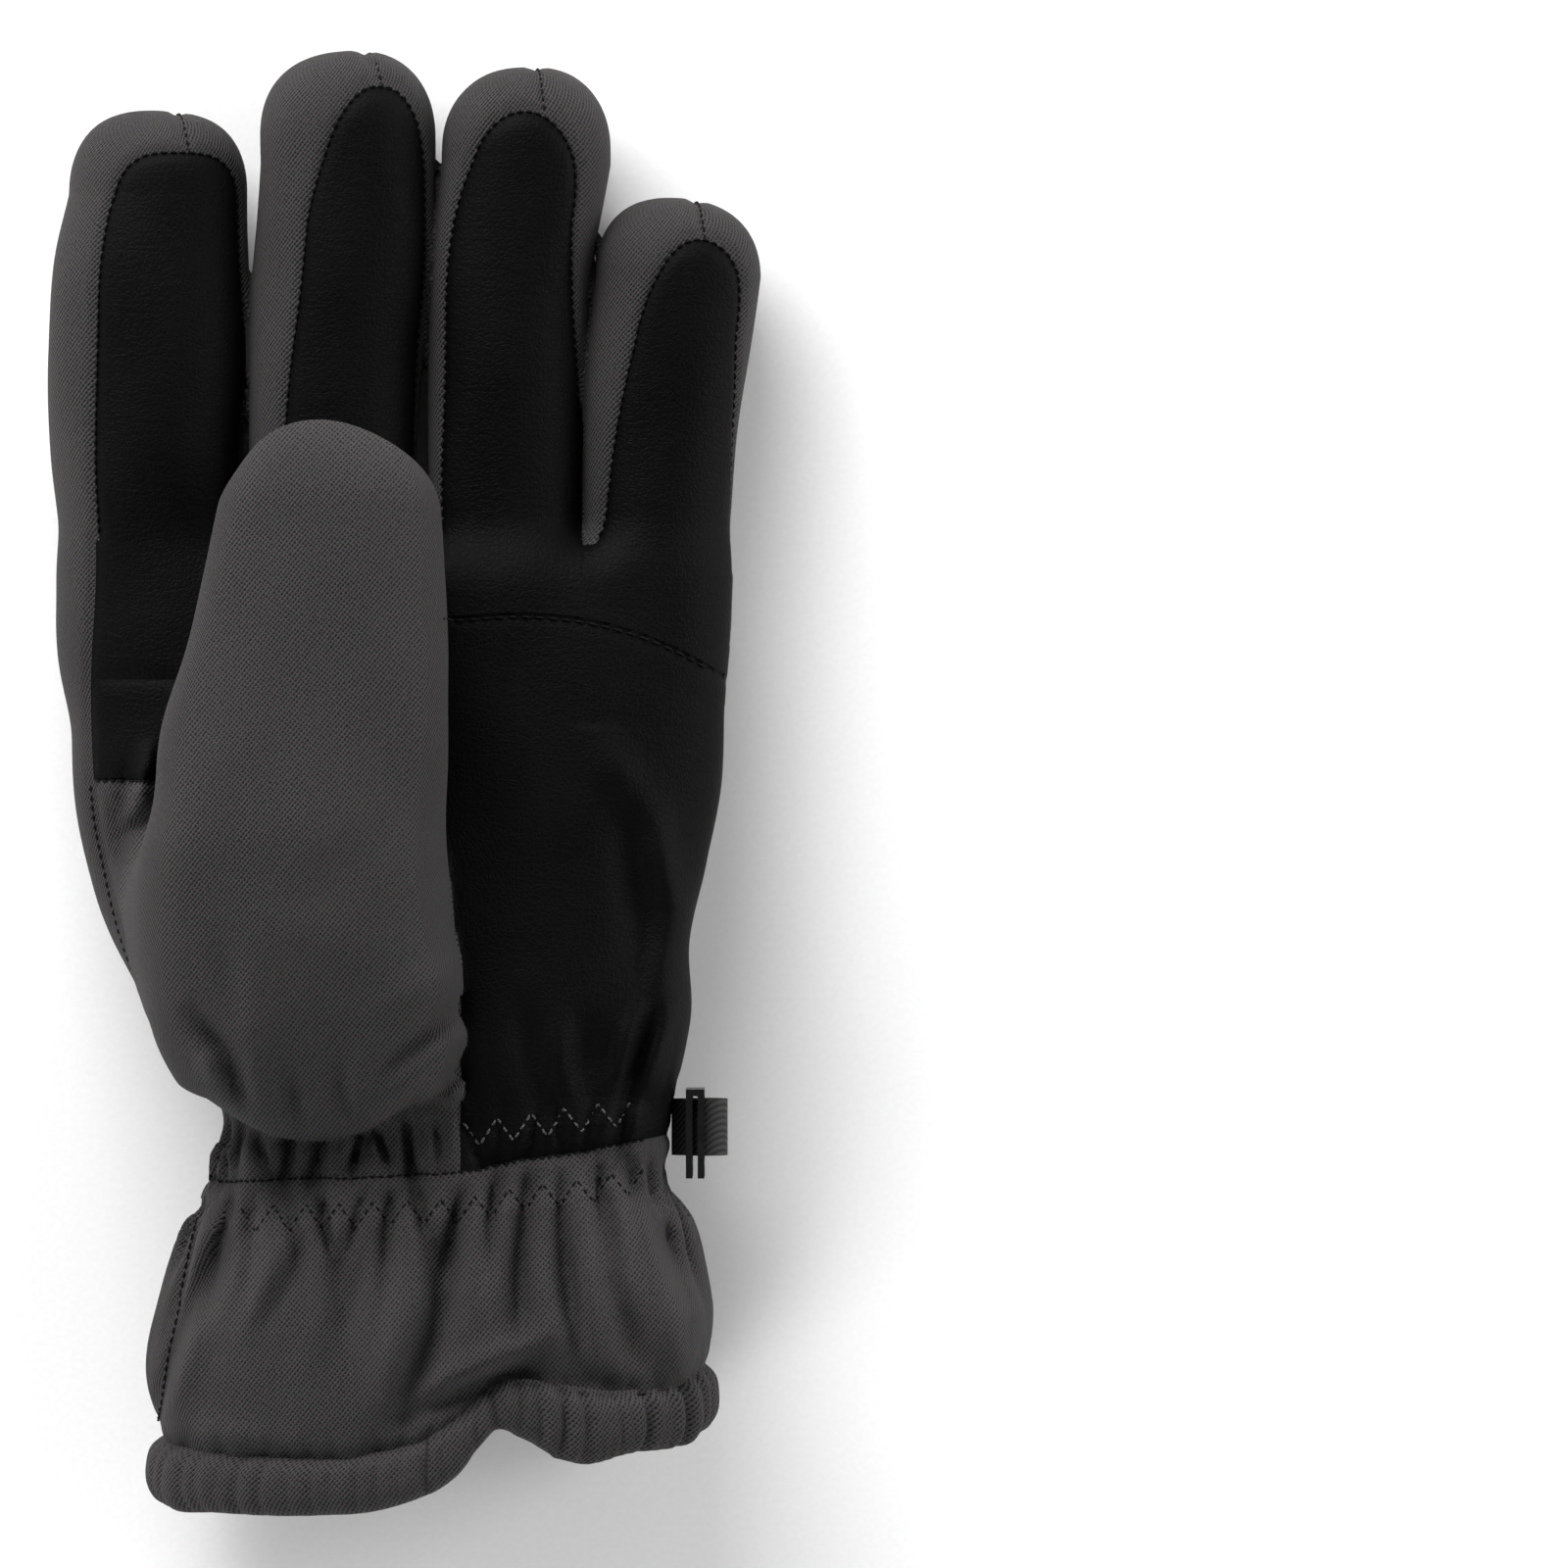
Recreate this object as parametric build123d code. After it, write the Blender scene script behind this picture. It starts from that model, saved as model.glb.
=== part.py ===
"""An insulated five-finger ski glove for the left hand, lying on its back with the palm up.

+X runs across the palm to the little finger, +Y along the fingers, +Z up out of the palm. The
origin is under the middle of the glove's box, on the surface that it lies on. A station is a
distance along the glove from the lowest point of the hem, and y = station - glove_length / 2.
"""
import math
import os

from build123d import *

os.makedirs("parts", exist_ok=True)

# ---- driving sizes, in millimetres ----------------------------------------------------------

glove_length = 284.2      # hem to the middle fingertip
cuff_length = 68.0        # hem to the seam that joins the cuff to the hand
palm_length = 116.0       # that seam to the webs between the fingers
wrist_width = 89.0
wrist_depth = 44.0
knuckle_depth = 36.0
cuff_width = 108.5        # at its fullest
cuff_depth = 54.0
wrist_offset = 8.4        # the wrist's middle, towards the little finger from the knuckles' middle
leather_rise = 0.3        # a digit's leather starts this share of its half depth past its middle
palm_seam_share = 0.55    # height of the seam between palm and back, of the knuckles' depth

# base radius, tip radius, tip station, lean of the tip towards +X, station of the middle joint
FINGERS = {
    "index": (18.6, 16.5, 273.2, 2.7, 222.0),
    "middle": (17.2, 17.0, 284.2, 2.8, 228.0),
    "ring": (15.4, 15.6, 281.2, 3.7, 226.0),
    "little": (14.2, 15.6, 255.6, 3.8, 214.0),
}
finger_gap = 0.8          # between neighbouring fingers, at their roots
finger_flatness = 0.9     # a finger's depth over its width
finger_root_reach = 23.2  # a finger's tube runs on this far inside the palm
finger_curl = 65.0        # degrees that a middle joint bends
curl_axis_rise = 3.0      # a middle joint's axis, above the middle of its finger

thumb_base_radius = 23.5
thumb_tip_radius = 20.0
thumb_flatness = 0.66
thumb_root_station = 118.0
thumb_tip_station = 212.0
thumb_x = -17.0
thumb_lean = 3.5
thumb_lift = 40.0         # degrees that the thumb lifts away from the palm
thumb_axis_rise = 5.0
thumb_root_rise = 1.0     # the thumb's root stands this much further off the palm than its tip
thumb_root_reach = 11.6   # the thumb's tube runs on this far behind its root
passage_start = 19.7      # from the wrist seam to the middle of the passage's lower end
passage_height_share = 0.62   # of the wrist's depth
passage_radius_share = 0.56   # of the thumb's depth

skin = 0.9                # shell fabric and synthetic leather
wadding = 3.5
membrane = 0.3
lining = 1.2
ply_gap = 0.15            # between one layer and the next
body_gap = 0.5            # between pieces that move against each other
notch_spare = 2.0         # degrees, on each side of a joint's notch
notch_drop = 1.0          # a notch's point, past its joint's axis
notch_width_share = 1.1   # half a notch's width, of the digit's radius
cut_side = 2.0            # a joint's cut runs past the sides of its finger
cut_length = 5.0          # and along it

wrist_curl = 35.0         # degrees towards the palm
wrist_back_bend = 20.0    # degrees towards the back of the hand

cuff_wadding = 1.6
hem_height = 14.0
hem_thickness = 5.0
hem_elastic_height = 9.0
hem_elastic_thickness = 1.6
wrist_elastic_width = 8.0
wrist_elastic_thickness = 1.2

thread_radius = 0.3
zigzag_pitch = 6.4
zigzag_height = 4.6
zigzag_spread = 11.5      # from the wrist seam to the middle of each zigzag row
zigzag_start = 4.0        # from the wrist's middle to a row's first peak, towards the little finger
zigzag_peaks = 5

patch_start = 11.0        # from the thumb's middle line to the edge of the palm patch
patch_station = 163.0     # lower edge of the palm patch at the outer side of the hand
patch_rise = 10.0         # the edge climbs by this much towards the thumb
patch_reach = 181.0
patch_stitch_inset = 2.5

webbing_width = 11.0
webbing_thickness = 0.9
loop_length = 10.0
loop_depth = 8.2
clip_plate = 1.3
clip_gap = 1.0            # between the clip's two plates
clip_wall = 1.3           # around the window that the webbing passes through
clip_prong = 2.4
prong_sink = 0.01         # so that each prong is one solid with its plate
clip_play = 0.65          # room between the webbing and the window
clip_inset = 2.2          # from the middle of the loop's bend to the clip, towards the glove
loop_station = cuff_length + 6.0

# ---- places worked out from those sizes ------------------------------------------------------

BIG = 400.0               # larger than the glove, for cutting boxes
upper_half = 0.6 * knuckle_depth  # above this height lies only the palm side
loop_root = 0.95          # radius of the webbing where its two ends are sewn together
loop_slit = loop_root / 4 # radius of the eye's narrow end
crotch_station = cuff_length + palm_length
cavity_inset = skin + wadding + membrane + lining + 3 * ply_gap
INSETS = {
    "skin": (0.0, skin),
    "wadding": (skin + ply_gap, skin + ply_gap + wadding),
    "membrane": (skin + wadding + 2 * ply_gap, skin + wadding + membrane + 2 * ply_gap),
    "lining": (cavity_inset - lining, cavity_inset),
}
CUFF_INSETS = {
    "skin": (0.0, skin),
    "wadding": (skin + ply_gap, skin + ply_gap + cuff_wadding),
    "lining": (skin + cuff_wadding + 2 * ply_gap, skin + cuff_wadding + lining + 2 * ply_gap),
}
web_floor = wrist_depth + body_gap    # above this height the hand is only the passage to the thumb

knuckle_width = sum(2 * f[0] for f in FINGERS.values()) + finger_gap * (len(FINGERS) - 1)


def raw_roots():
    """The x of each finger's root, measured from the index side of the knuckles."""
    roots, x = {}, 0.0
    for name, (base, _, _, _, _) in FINGERS.items():
        roots[name] = x + base
        x += 2 * base + finger_gap
    return roots


def middle_x():
    """The middle of the glove's box, measured from the index side of the knuckles."""
    roots = raw_roots()
    low, high = 0.0, knuckle_width
    for name, (_, tip, _, lean, _) in FINGERS.items():
        low = min(low, roots[name] + lean - tip)
        high = max(high, roots[name] + lean + tip)
    return (low + high) / 2


index_side = -middle_x()
hand_x = index_side + knuckle_width / 2
ROOT_X = {name: index_side + x for name, x in raw_roots().items()}

# share of the palm's length, of its widening from wrist to knuckles, of the wrist's offset
HAND_PROFILE = [(0, 0, 1), (0.164, 0.19, 0.79), (0.31, 0.356, 0.54), (0.474, 0.617, 0.32),
                (0.638, 0.757, 0.19), (0.8, 0.883, 0.01), (1, 1, 0)]
# share of the cuff's length, of its swelling from wrist to fullest, of the wrist's offset
CUFF_PROFILE = [(0, 0.93, 0.92), (0.2, 0.93, 0.92), (0.5, 1, 0.92), (0.73, 0.86, 0.98),
                (0.88, 0.3, 1.0), (1, 0, 1)]
# The hem's lower edge: share of the cuff's width, height of the edge over the lowest station.
HEM_WAVE = [(-0.03, 8.0), (0.04, 4.0), (0.18, 0.6), (0.34, 0.6), (0.52, 5.0), (0.68, 11.5),
            (0.79, 12.0), (0.9, 7.5), (1.0, 15.0), (1.03, 18.0)]


def y_at(station):
    return station - glove_length / 2


def hand_section(share, widening, offset):
    """(station, middle x, width, depth) of the hand at a share of the palm's length."""
    width = wrist_width + (knuckle_width - wrist_width) * widening
    depth = wrist_depth + (knuckle_depth - wrist_depth) * share**2
    return cuff_length + palm_length * share, hand_x + wrist_offset * offset, width, depth


def cuff_section(share, swelling, offset):
    """(station, middle x, width, depth) of the cuff at a share of its length."""
    width = wrist_width + (cuff_width - wrist_width) * swelling
    depth = wrist_depth + (cuff_depth - wrist_depth) * swelling
    return cuff_length * share, hand_x + wrist_offset * offset, width, depth


HAND_SECTIONS = [hand_section(*row) for row in HAND_PROFILE]
CUFF_SECTIONS = [cuff_section(*row) for row in CUFF_PROFILE]


def section_at(station, sections):
    """The section between two listed ones, as (middle x, width, depth)."""
    for low, high in zip(sections, sections[1:]):
        if station <= high[0]:
            break
    t = (station - low[0]) / (high[0] - low[0])
    return tuple(low[k] + (high[k] - low[k]) * t for k in (1, 2, 3))


# ---- solids that several pieces are cut from --------------------------------------------------


def tube_profile(x, width, depth, station, inset):
    """The rounded outline of the glove at a station, resting at z = 0 when inset is 0."""
    plane = Plane(origin=(x, y_at(station), depth / 2), x_dir=(1, 0, 0), z_dir=(0, 1, 0))
    return plane * SlotOverall(width - 2 * inset, depth - 2 * inset)


def tube(sections, inset, end_inset=0.0):
    """A solid through the sections, smaller all round by inset and at its far end by end_inset."""
    outlines = []
    for i, (station, x, width, depth) in enumerate(sections):
        last = i == len(sections) - 1
        outlines.append(tube_profile(x, width, depth, station - end_inset * last, inset))
    return loft(outlines, ruled=True)


def block(x0, x1, s0, s1, z0, z1):
    """A box between two x values, two stations and two heights."""
    corner = Pos(x0, y_at(s0), z0)
    return corner * Box(x1 - x0, s1 - s0, z1 - z0, align=(Align.MIN, Align.MIN, Align.MIN))


def before(station):
    return block(-BIG, BIG, -BIG, station, -BIG, BIG)


def beyond(station):
    return block(-BIG, BIG, station, BIG, -BIG, BIG)


def digit(base, tip, start, length, flatness, inset):
    """A tapered round-ended digit along +Y from y = start, flattened in z, with its base at y = 0."""
    slope = (tip - base) / length
    low = base + slope * start - inset
    if math.isclose(low, tip - inset):
        body = Solid.make_cylinder(low, length - start)
    else:
        body = Solid.make_cone(low, tip - inset, length - start)
    body = Pos(0, 0, start) * body
    dome = Pos(0, 0, length) * Sphere(tip - inset)
    middle = (base + tip) / 2
    squash = (middle * flatness - inset) / (middle - inset)
    return Rot(-90, 0, 0) * scale(body + dome, by=(1, squash, 1))


def finger_height(name):
    base, tip, _, _, _ = FINGERS[name]
    return finger_flatness * max(base, tip)


def finger(name, inset):
    """A whole finger from inside the palm to its tip."""
    base, tip, tip_station, lean, _ = FINGERS[name]
    run = tip_station - tip - crotch_station
    length = math.hypot(run, lean)
    turn = Rot(0, 0, -math.degrees(math.atan2(lean, run)))
    place = Pos(ROOT_X[name], y_at(crotch_station), finger_height(name))
    return place * (turn * digit(base, tip, -finger_root_reach, length, finger_flatness, inset))


thumb_depth = thumb_flatness * (thumb_base_radius + thumb_tip_radius)
palm_top = section_at(thumb_root_station, HAND_SECTIONS)[2]
thumb_root_z = palm_top + skin + body_gap + thumb_depth / 2 + thumb_root_rise
thumb_tip_z = section_at(crotch_station - 1, HAND_SECTIONS)[2] + skin + body_gap + thumb_depth / 2


def thumb(inset):
    """The thumb from its root joint to its tip, lying along the palm and sloping down with it."""
    run = thumb_tip_station - thumb_tip_radius - thumb_root_station
    drop = thumb_root_z - thumb_tip_z
    length = math.sqrt(run**2 + drop**2 + thumb_lean**2)
    turn = Rot(-math.degrees(math.atan2(drop, run)), 0, -math.degrees(math.atan2(thumb_lean, run)))
    form = digit(thumb_base_radius, thumb_tip_radius, -thumb_root_reach, length, thumb_flatness, inset)
    return Pos(thumb_x, y_at(thumb_root_station), thumb_root_z) * (turn * form)


root_low_station = cuff_length + passage_start
root_low_z = wrist_depth * passage_height_share


def thumb_root(inset):
    """The slanting passage from the palm up into the thumb."""
    run = thumb_root_station - root_low_station
    rise = thumb_root_z - root_low_z
    length = math.hypot(run, rise)
    radius = thumb_depth * passage_radius_share - inset
    form = Solid.make_cylinder(radius, length) + Sphere(radius) + Pos(0, 0, length) * Sphere(radius)
    widen = (thumb_base_radius - inset) / radius
    form = scale(form, by=(widen, 1, 1))
    slope = math.degrees(math.atan2(run, rise))
    return Pos(thumb_x, y_at(root_low_station), root_low_z) * (Rot(-slope, 0, 0) * form)


def hinge_z(name):
    return finger_height(name) + curl_axis_rise


def wedge(x, y, z, angle, width, up=1):
    """A V-shaped notch that opens up or down from an axis along X, for a joint that closes it."""
    reach = BIG / 4
    half = math.radians(angle / 2 + notch_spare)
    side = reach * math.sin(half), up * reach * math.cos(half)
    outline = Polyline((0, 0), (-side[0], side[1]), (side[0], side[1]), close=True)
    plane = Plane(origin=(x - width / 2, y, z - up * notch_drop), x_dir=(0, 1, 0), z_dir=(1, 0, 0))
    return extrude(plane * make_face(outline), width)


def finger_notch(name):
    base, tip, _, lean, joint = FINGERS[name]
    x = ROOT_X[name] + lean / 2
    width = 2 * notch_width_share * max(base, tip)
    return wedge(x, y_at(joint), hinge_z(name), finger_curl, width)


def thumb_notch():
    width = 2 * notch_width_share * thumb_base_radius
    return wedge(thumb_x, y_at(thumb_root_station), thumb_root_z + thumb_axis_rise, thumb_lift, width)


def wrist_notch():
    """The room that the wrist needs above and below its axis."""
    y, z = y_at(cuff_length), wrist_depth / 2
    return wedge(hand_x, y, z, wrist_curl, BIG) + wedge(hand_x, y, z, wrist_back_bend, BIG, up=-1)


def hand_form(inset):
    """The palm, the four finger roots and the passage to the thumb, as one solid."""
    form = tube(HAND_SECTIONS, inset, end_inset=inset)
    for name in FINGERS:
        form += finger(name, inset) & before(FINGERS[name][4])
    form += thumb_root(inset) & before(thumb_root_station)
    return form


def hand_layer(outer, inner):
    """A layer of the hand, open at the wrist, at each middle joint and at the thumb."""
    form = hand_form(outer) - hand_form(inner)
    form -= before(cuff_length + body_gap / 2)
    form -= wrist_notch()
    for name, (base, _, _, _, joint) in FINGERS.items():
        x, reach, start = ROOT_X[name], base + cut_side, joint - body_gap / 2
        form -= block(x - reach, x + reach, start, joint + cut_length, -BIG, BIG)
        form -= finger_notch(name)
    start = thumb_root_station - body_gap / 2
    form -= block(-BIG, BIG, start, thumb_root_station + cut_length, web_floor, BIG)
    form -= thumb_notch() & block(-BIG, BIG, 0, BIG, web_floor, BIG)
    return form


def finger_layer(name, outer, inner):
    """A layer of a fingertip, from the middle joint on."""
    form = finger(name, outer) - finger(name, inner)
    return form - before(FINGERS[name][4] + body_gap / 2) - finger_notch(name)


def finger_seam_z(name):
    """Height of the seam between a fingertip's leather front and its fabric sides."""
    return finger_height(name) * (1 + leather_rise)


thumb_seam_z = (thumb_root_z + thumb_tip_z) / 2 - thumb_depth * leather_rise


def thumb_layer(outer, inner):
    form = thumb(outer) - thumb(inner)
    return form - before(thumb_root_station + body_gap / 2) - thumb_notch()


def split(form, z):
    """The parts of a layer below and above a height, a ply_gap apart."""
    low = form & block(-BIG, BIG, -BIG, BIG, -BIG, z - ply_gap / 2)
    high = form & block(-BIG, BIG, -BIG, BIG, z + ply_gap / 2, BIG)
    return low, high


def below_hem(rise):
    """Everything below the hem's wavy edge, raised by rise."""
    left = hand_x + wrist_offset - cuff_width / 2
    points = [(left + cuff_width * share, y_at(height + rise)) for share, height in HEM_WAVE]
    edge = Spline(*points)
    low = y_at(-BIG)
    sides = Polyline(points[-1], (points[-1][0], low), (points[0][0], low), points[0])
    return extrude(make_face(Curve() + [edge, sides]), BIG, both=True)


def cuff_layer(outer, inner, start):
    """A layer of the cuff, from a distance over the hem's edge up to the wrist seam."""
    form = tube(CUFF_SECTIONS, outer) - tube(CUFF_SECTIONS, inner)
    form -= below_hem(start)
    form -= beyond(cuff_length - body_gap / 2)
    return form - wrist_notch()


def ring(sections, outer, inner, start, end):
    """A band round the glove between two stations."""
    form = tube(sections, outer) - tube(sections, inner)
    return form & (beyond(start) - beyond(end))


def wrist_elastic():
    """A flat band inside the cuff, under its row of zigzag stitches."""
    middle = cuff_length - zigzag_spread
    outer = CUFF_INSETS["lining"][1] + ply_gap
    band = ring(CUFF_SECTIONS, outer, outer + wrist_elastic_thickness,
                middle - wrist_elastic_width / 2, middle + wrist_elastic_width / 2)
    return band - wrist_notch()


def hem_ring(outer, inner, start, end):
    """A band round the cuff that follows the hem's wave, between two distances over its edge."""
    form = tube(CUFF_SECTIONS, outer) - tube(CUFF_SECTIONS, inner)
    return form - below_hem(start) & below_hem(end)


def thread(path, sections, rise=0.0):
    """A thread laid along a flat path, on the upper face of the glove or of what covers it."""
    line = trace(path, line_width=2 * thread_radius)
    wall = Pos(0, 0, upper_half) * extrude(line, BIG, dir=(0, 0, 1))
    low = rise + ply_gap
    return wall & (tube(sections, -low - 2 * thread_radius) - tube(sections, -low))


def zigzag(station, sections):
    """A row of zigzag stitches across the palm side of the wrist."""
    x, y = hand_x + wrist_offset + zigzag_start, y_at(station)
    points = []
    for i in range(2 * zigzag_peaks + 1):
        side = 1 if i % 2 else -1
        points.append((x + i * zigzag_pitch / 2, y + side * zigzag_height / 2))
    return thread(Polyline(*points), sections)


def patch_edge(inset):
    """The lower edge of the palm patch: a slow curve that climbs towards the thumb."""
    x0 = thumb_x + thumb_base_radius + patch_start + inset
    x1 = index_side + knuckle_width - inset
    rise = patch_rise * (x1 - x0) / knuckle_width
    low = y_at(patch_station + inset)
    return Spline((x0, low + patch_rise), ((x0 + x1) / 2, low + patch_rise - rise / 4), (x1, low))


def palm_patch():
    """The patch sewn over the palm below the fingers."""
    edge = patch_edge(0)
    start, end = edge @ 0, edge @ 1
    top = y_at(patch_reach)
    sides = Polyline(end, (end.X, top), (start.X, top), start)
    column = extrude(make_face(Curve() + [edge, sides]), BIG, dir=(0, 0, 1))
    column = Pos(0, 0, upper_half) * column
    return column & (tube(HAND_SECTIONS, -skin - ply_gap) - tube(HAND_SECTIONS, -ply_gap))


side_middle, side_width, _ = section_at(loop_station + webbing_width / 2, HAND_SECTIONS)
loop_x = side_middle + side_width / 2 + body_gap + loop_root
loop_z = wrist_depth / 2
clip_x = loop_x + loop_length - loop_depth / 2 - clip_inset


def webbing_loop():
    """A short length of webbing folded into a loop, narrow where it is sewn into the side seam."""
    root = Pos(loop_x, loop_z) * Circle(loop_root)
    eye = Pos(loop_x + loop_length - loop_depth / 2, loop_z) * Circle(loop_depth / 2)
    hole_root = Pos(loop_x + 2 * loop_root, loop_z) * Circle(loop_slit)
    hole_eye = Pos(loop_x + loop_length - loop_depth / 2, loop_z)
    hole_eye = hole_eye * Circle(loop_depth / 2 - webbing_thickness)
    band = make_hull((root + eye).edges()) - make_hull((hole_root + hole_eye).edges())
    upper_edge = y_at(loop_station) + webbing_width / 2
    place = Plane(origin=(0, upper_edge, 0), x_dir=(1, 0, 0), z_dir=(0, -1, 0))
    return extrude(place * band, webbing_width)


def pair_clip():
    """Two thin plates with a window each, joined along their top edge by a bridge."""
    high = webbing_width + 2 * clip_play + 2 * clip_wall
    deep = loop_depth + 2 * clip_play + 2 * clip_wall
    thick = 2 * clip_plate + clip_gap
    y = y_at(loop_station)
    body = Pos(clip_x, y, loop_z) * Box(thick, high, deep)
    body -= Pos(clip_x, y - clip_wall, loop_z) * Box(clip_gap, high, deep)
    body -= Pos(clip_x, y, loop_z) * Box(2 * thick, high - 2 * clip_wall, deep - 2 * clip_wall)
    foot = y - high / 2
    for side in (-1, 1):
        leg = Box(clip_plate, clip_prong, clip_prong, align=(Align.CENTER, Align.MAX, Align.CENTER))
        x = clip_x + side * (clip_gap + clip_plate) / 2
        for edge in (-1, 1):
            body += Pos(x, foot + prong_sink, loop_z + edge * (deep - clip_prong) / 2) * leg
    return body


def save(node, shape):
    solids = shape.solids()
    export_step(Compound(children=solids) if len(solids) > 1 else solids[0], f"parts/{node}.step")


# ---- the hand ---------------------------------------------------------------------------------

back, upper = split(hand_layer(*INSETS["skin"]), knuckle_depth * palm_seam_share)
palm, web = split(upper, web_floor)
save("hand_back_shell", back)
save("palm_leather", palm)
save("thumb_web", web)
save("palm_patch", palm_patch())
save("palm_patch_stitch", thread(patch_edge(patch_stitch_inset), HAND_SECTIONS, skin + ply_gap))
save("hand_insulation", hand_layer(*INSETS["wadding"]))
save("hand_membrane", hand_layer(*INSETS["membrane"]))
save("hand_lining", hand_layer(*INSETS["lining"]))
save("palm_zigzag_stitch", zigzag(cuff_length + zigzag_spread, HAND_SECTIONS))

# ---- the fingertips and the thumb, each a set of nested layers ---------------------------------

for finger_name in FINGERS:
    side_shell, front = split(finger_layer(finger_name, *INSETS["skin"]), finger_seam_z(finger_name))
    save(f"{finger_name}_shell", side_shell)
    save(f"{finger_name}_leather", front)
    save(f"{finger_name}_insulation", finger_layer(finger_name, *INSETS["wadding"]))
    save(f"{finger_name}_membrane", finger_layer(finger_name, *INSETS["membrane"]))
    save(f"{finger_name}_lining", finger_layer(finger_name, *INSETS["lining"]))

inner_side, outer_side = split(thumb_layer(*INSETS["skin"]), thumb_seam_z)
save("thumb_leather", inner_side)
save("thumb_shell", outer_side)
save("thumb_insulation", thumb_layer(*INSETS["wadding"]))
save("thumb_membrane", thumb_layer(*INSETS["membrane"]))
save("thumb_lining", thumb_layer(*INSETS["lining"]))

# ---- the cuff, with a casing and an elastic along its wavy hem ----------------------------------

hem_top = hem_height + ply_gap
elastic_low = (hem_height - hem_elastic_height) / 2
elastic_high = elastic_low + hem_elastic_height
elastic_out = (hem_thickness - hem_elastic_thickness) / 2
elastic_in = elastic_out + hem_elastic_thickness
casing = hem_ring(0, hem_thickness, 0, hem_height)
tunnel = (elastic_out - ply_gap, elastic_in + ply_gap, elastic_low - ply_gap, elastic_high + ply_gap)
save("hem_casing", casing - hem_ring(*tunnel))
save("hem_elastic", hem_ring(elastic_out, elastic_in, elastic_low, elastic_high))
save("cuff_shell", cuff_layer(*CUFF_INSETS["skin"], hem_top))
save("cuff_insulation", cuff_layer(*CUFF_INSETS["wadding"], hem_top))
save("cuff_lining", cuff_layer(*CUFF_INSETS["lining"], hem_top))
save("wrist_zigzag_stitch", zigzag(cuff_length - zigzag_spread, CUFF_SECTIONS))
save("wrist_elastic", wrist_elastic())

# ---- the loop and the clip that pair this glove with the other ----------------------------------

save("webbing_loop", webbing_loop())
save("pair_clip", pair_clip())
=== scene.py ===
import math

import bpy
import numpy as np
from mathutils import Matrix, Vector


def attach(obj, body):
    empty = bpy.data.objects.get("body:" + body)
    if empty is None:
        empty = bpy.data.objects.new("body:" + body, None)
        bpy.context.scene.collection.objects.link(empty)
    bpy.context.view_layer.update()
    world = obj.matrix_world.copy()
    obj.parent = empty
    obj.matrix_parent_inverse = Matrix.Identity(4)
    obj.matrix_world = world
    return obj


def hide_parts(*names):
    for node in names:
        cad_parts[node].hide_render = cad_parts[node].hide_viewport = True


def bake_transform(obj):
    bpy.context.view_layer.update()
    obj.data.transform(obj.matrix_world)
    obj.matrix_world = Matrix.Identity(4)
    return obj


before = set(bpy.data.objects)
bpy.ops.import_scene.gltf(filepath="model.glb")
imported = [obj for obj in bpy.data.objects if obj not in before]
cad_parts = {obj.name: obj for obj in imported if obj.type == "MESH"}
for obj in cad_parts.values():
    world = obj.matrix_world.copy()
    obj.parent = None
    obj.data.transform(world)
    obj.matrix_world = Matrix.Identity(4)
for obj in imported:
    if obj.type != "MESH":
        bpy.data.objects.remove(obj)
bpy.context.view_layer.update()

# ---- The sewn hand: one outer skin -------------------------------------------------------------
# A padded ski glove, lying on its back. Its outside is one closed skin, sewn from panels and blown
# out by the wadding: four fingers, the palm, the thumb folded over it, the gathered wrist and the
# cuff.

MM = 0.001                # sizes are in millimetres, and turn to metres when a mesh is made
HALF_LENGTH = 142.1       # a station is y + HALF_LENGTH: the distance from the hem's lowest point
WEB_STATION = 187.0       # where the fingers part
GRID = 1.2   # the skin's point spacing
SKIN_BOX = (-78, -152, -3), (74, 146, 76)   # holds the whole skin, with room to spare
FLOOR_GAP = 0.15          # the glove's lowest points stand this far off the floor
rng = np.random.default_rng(7)

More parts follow.
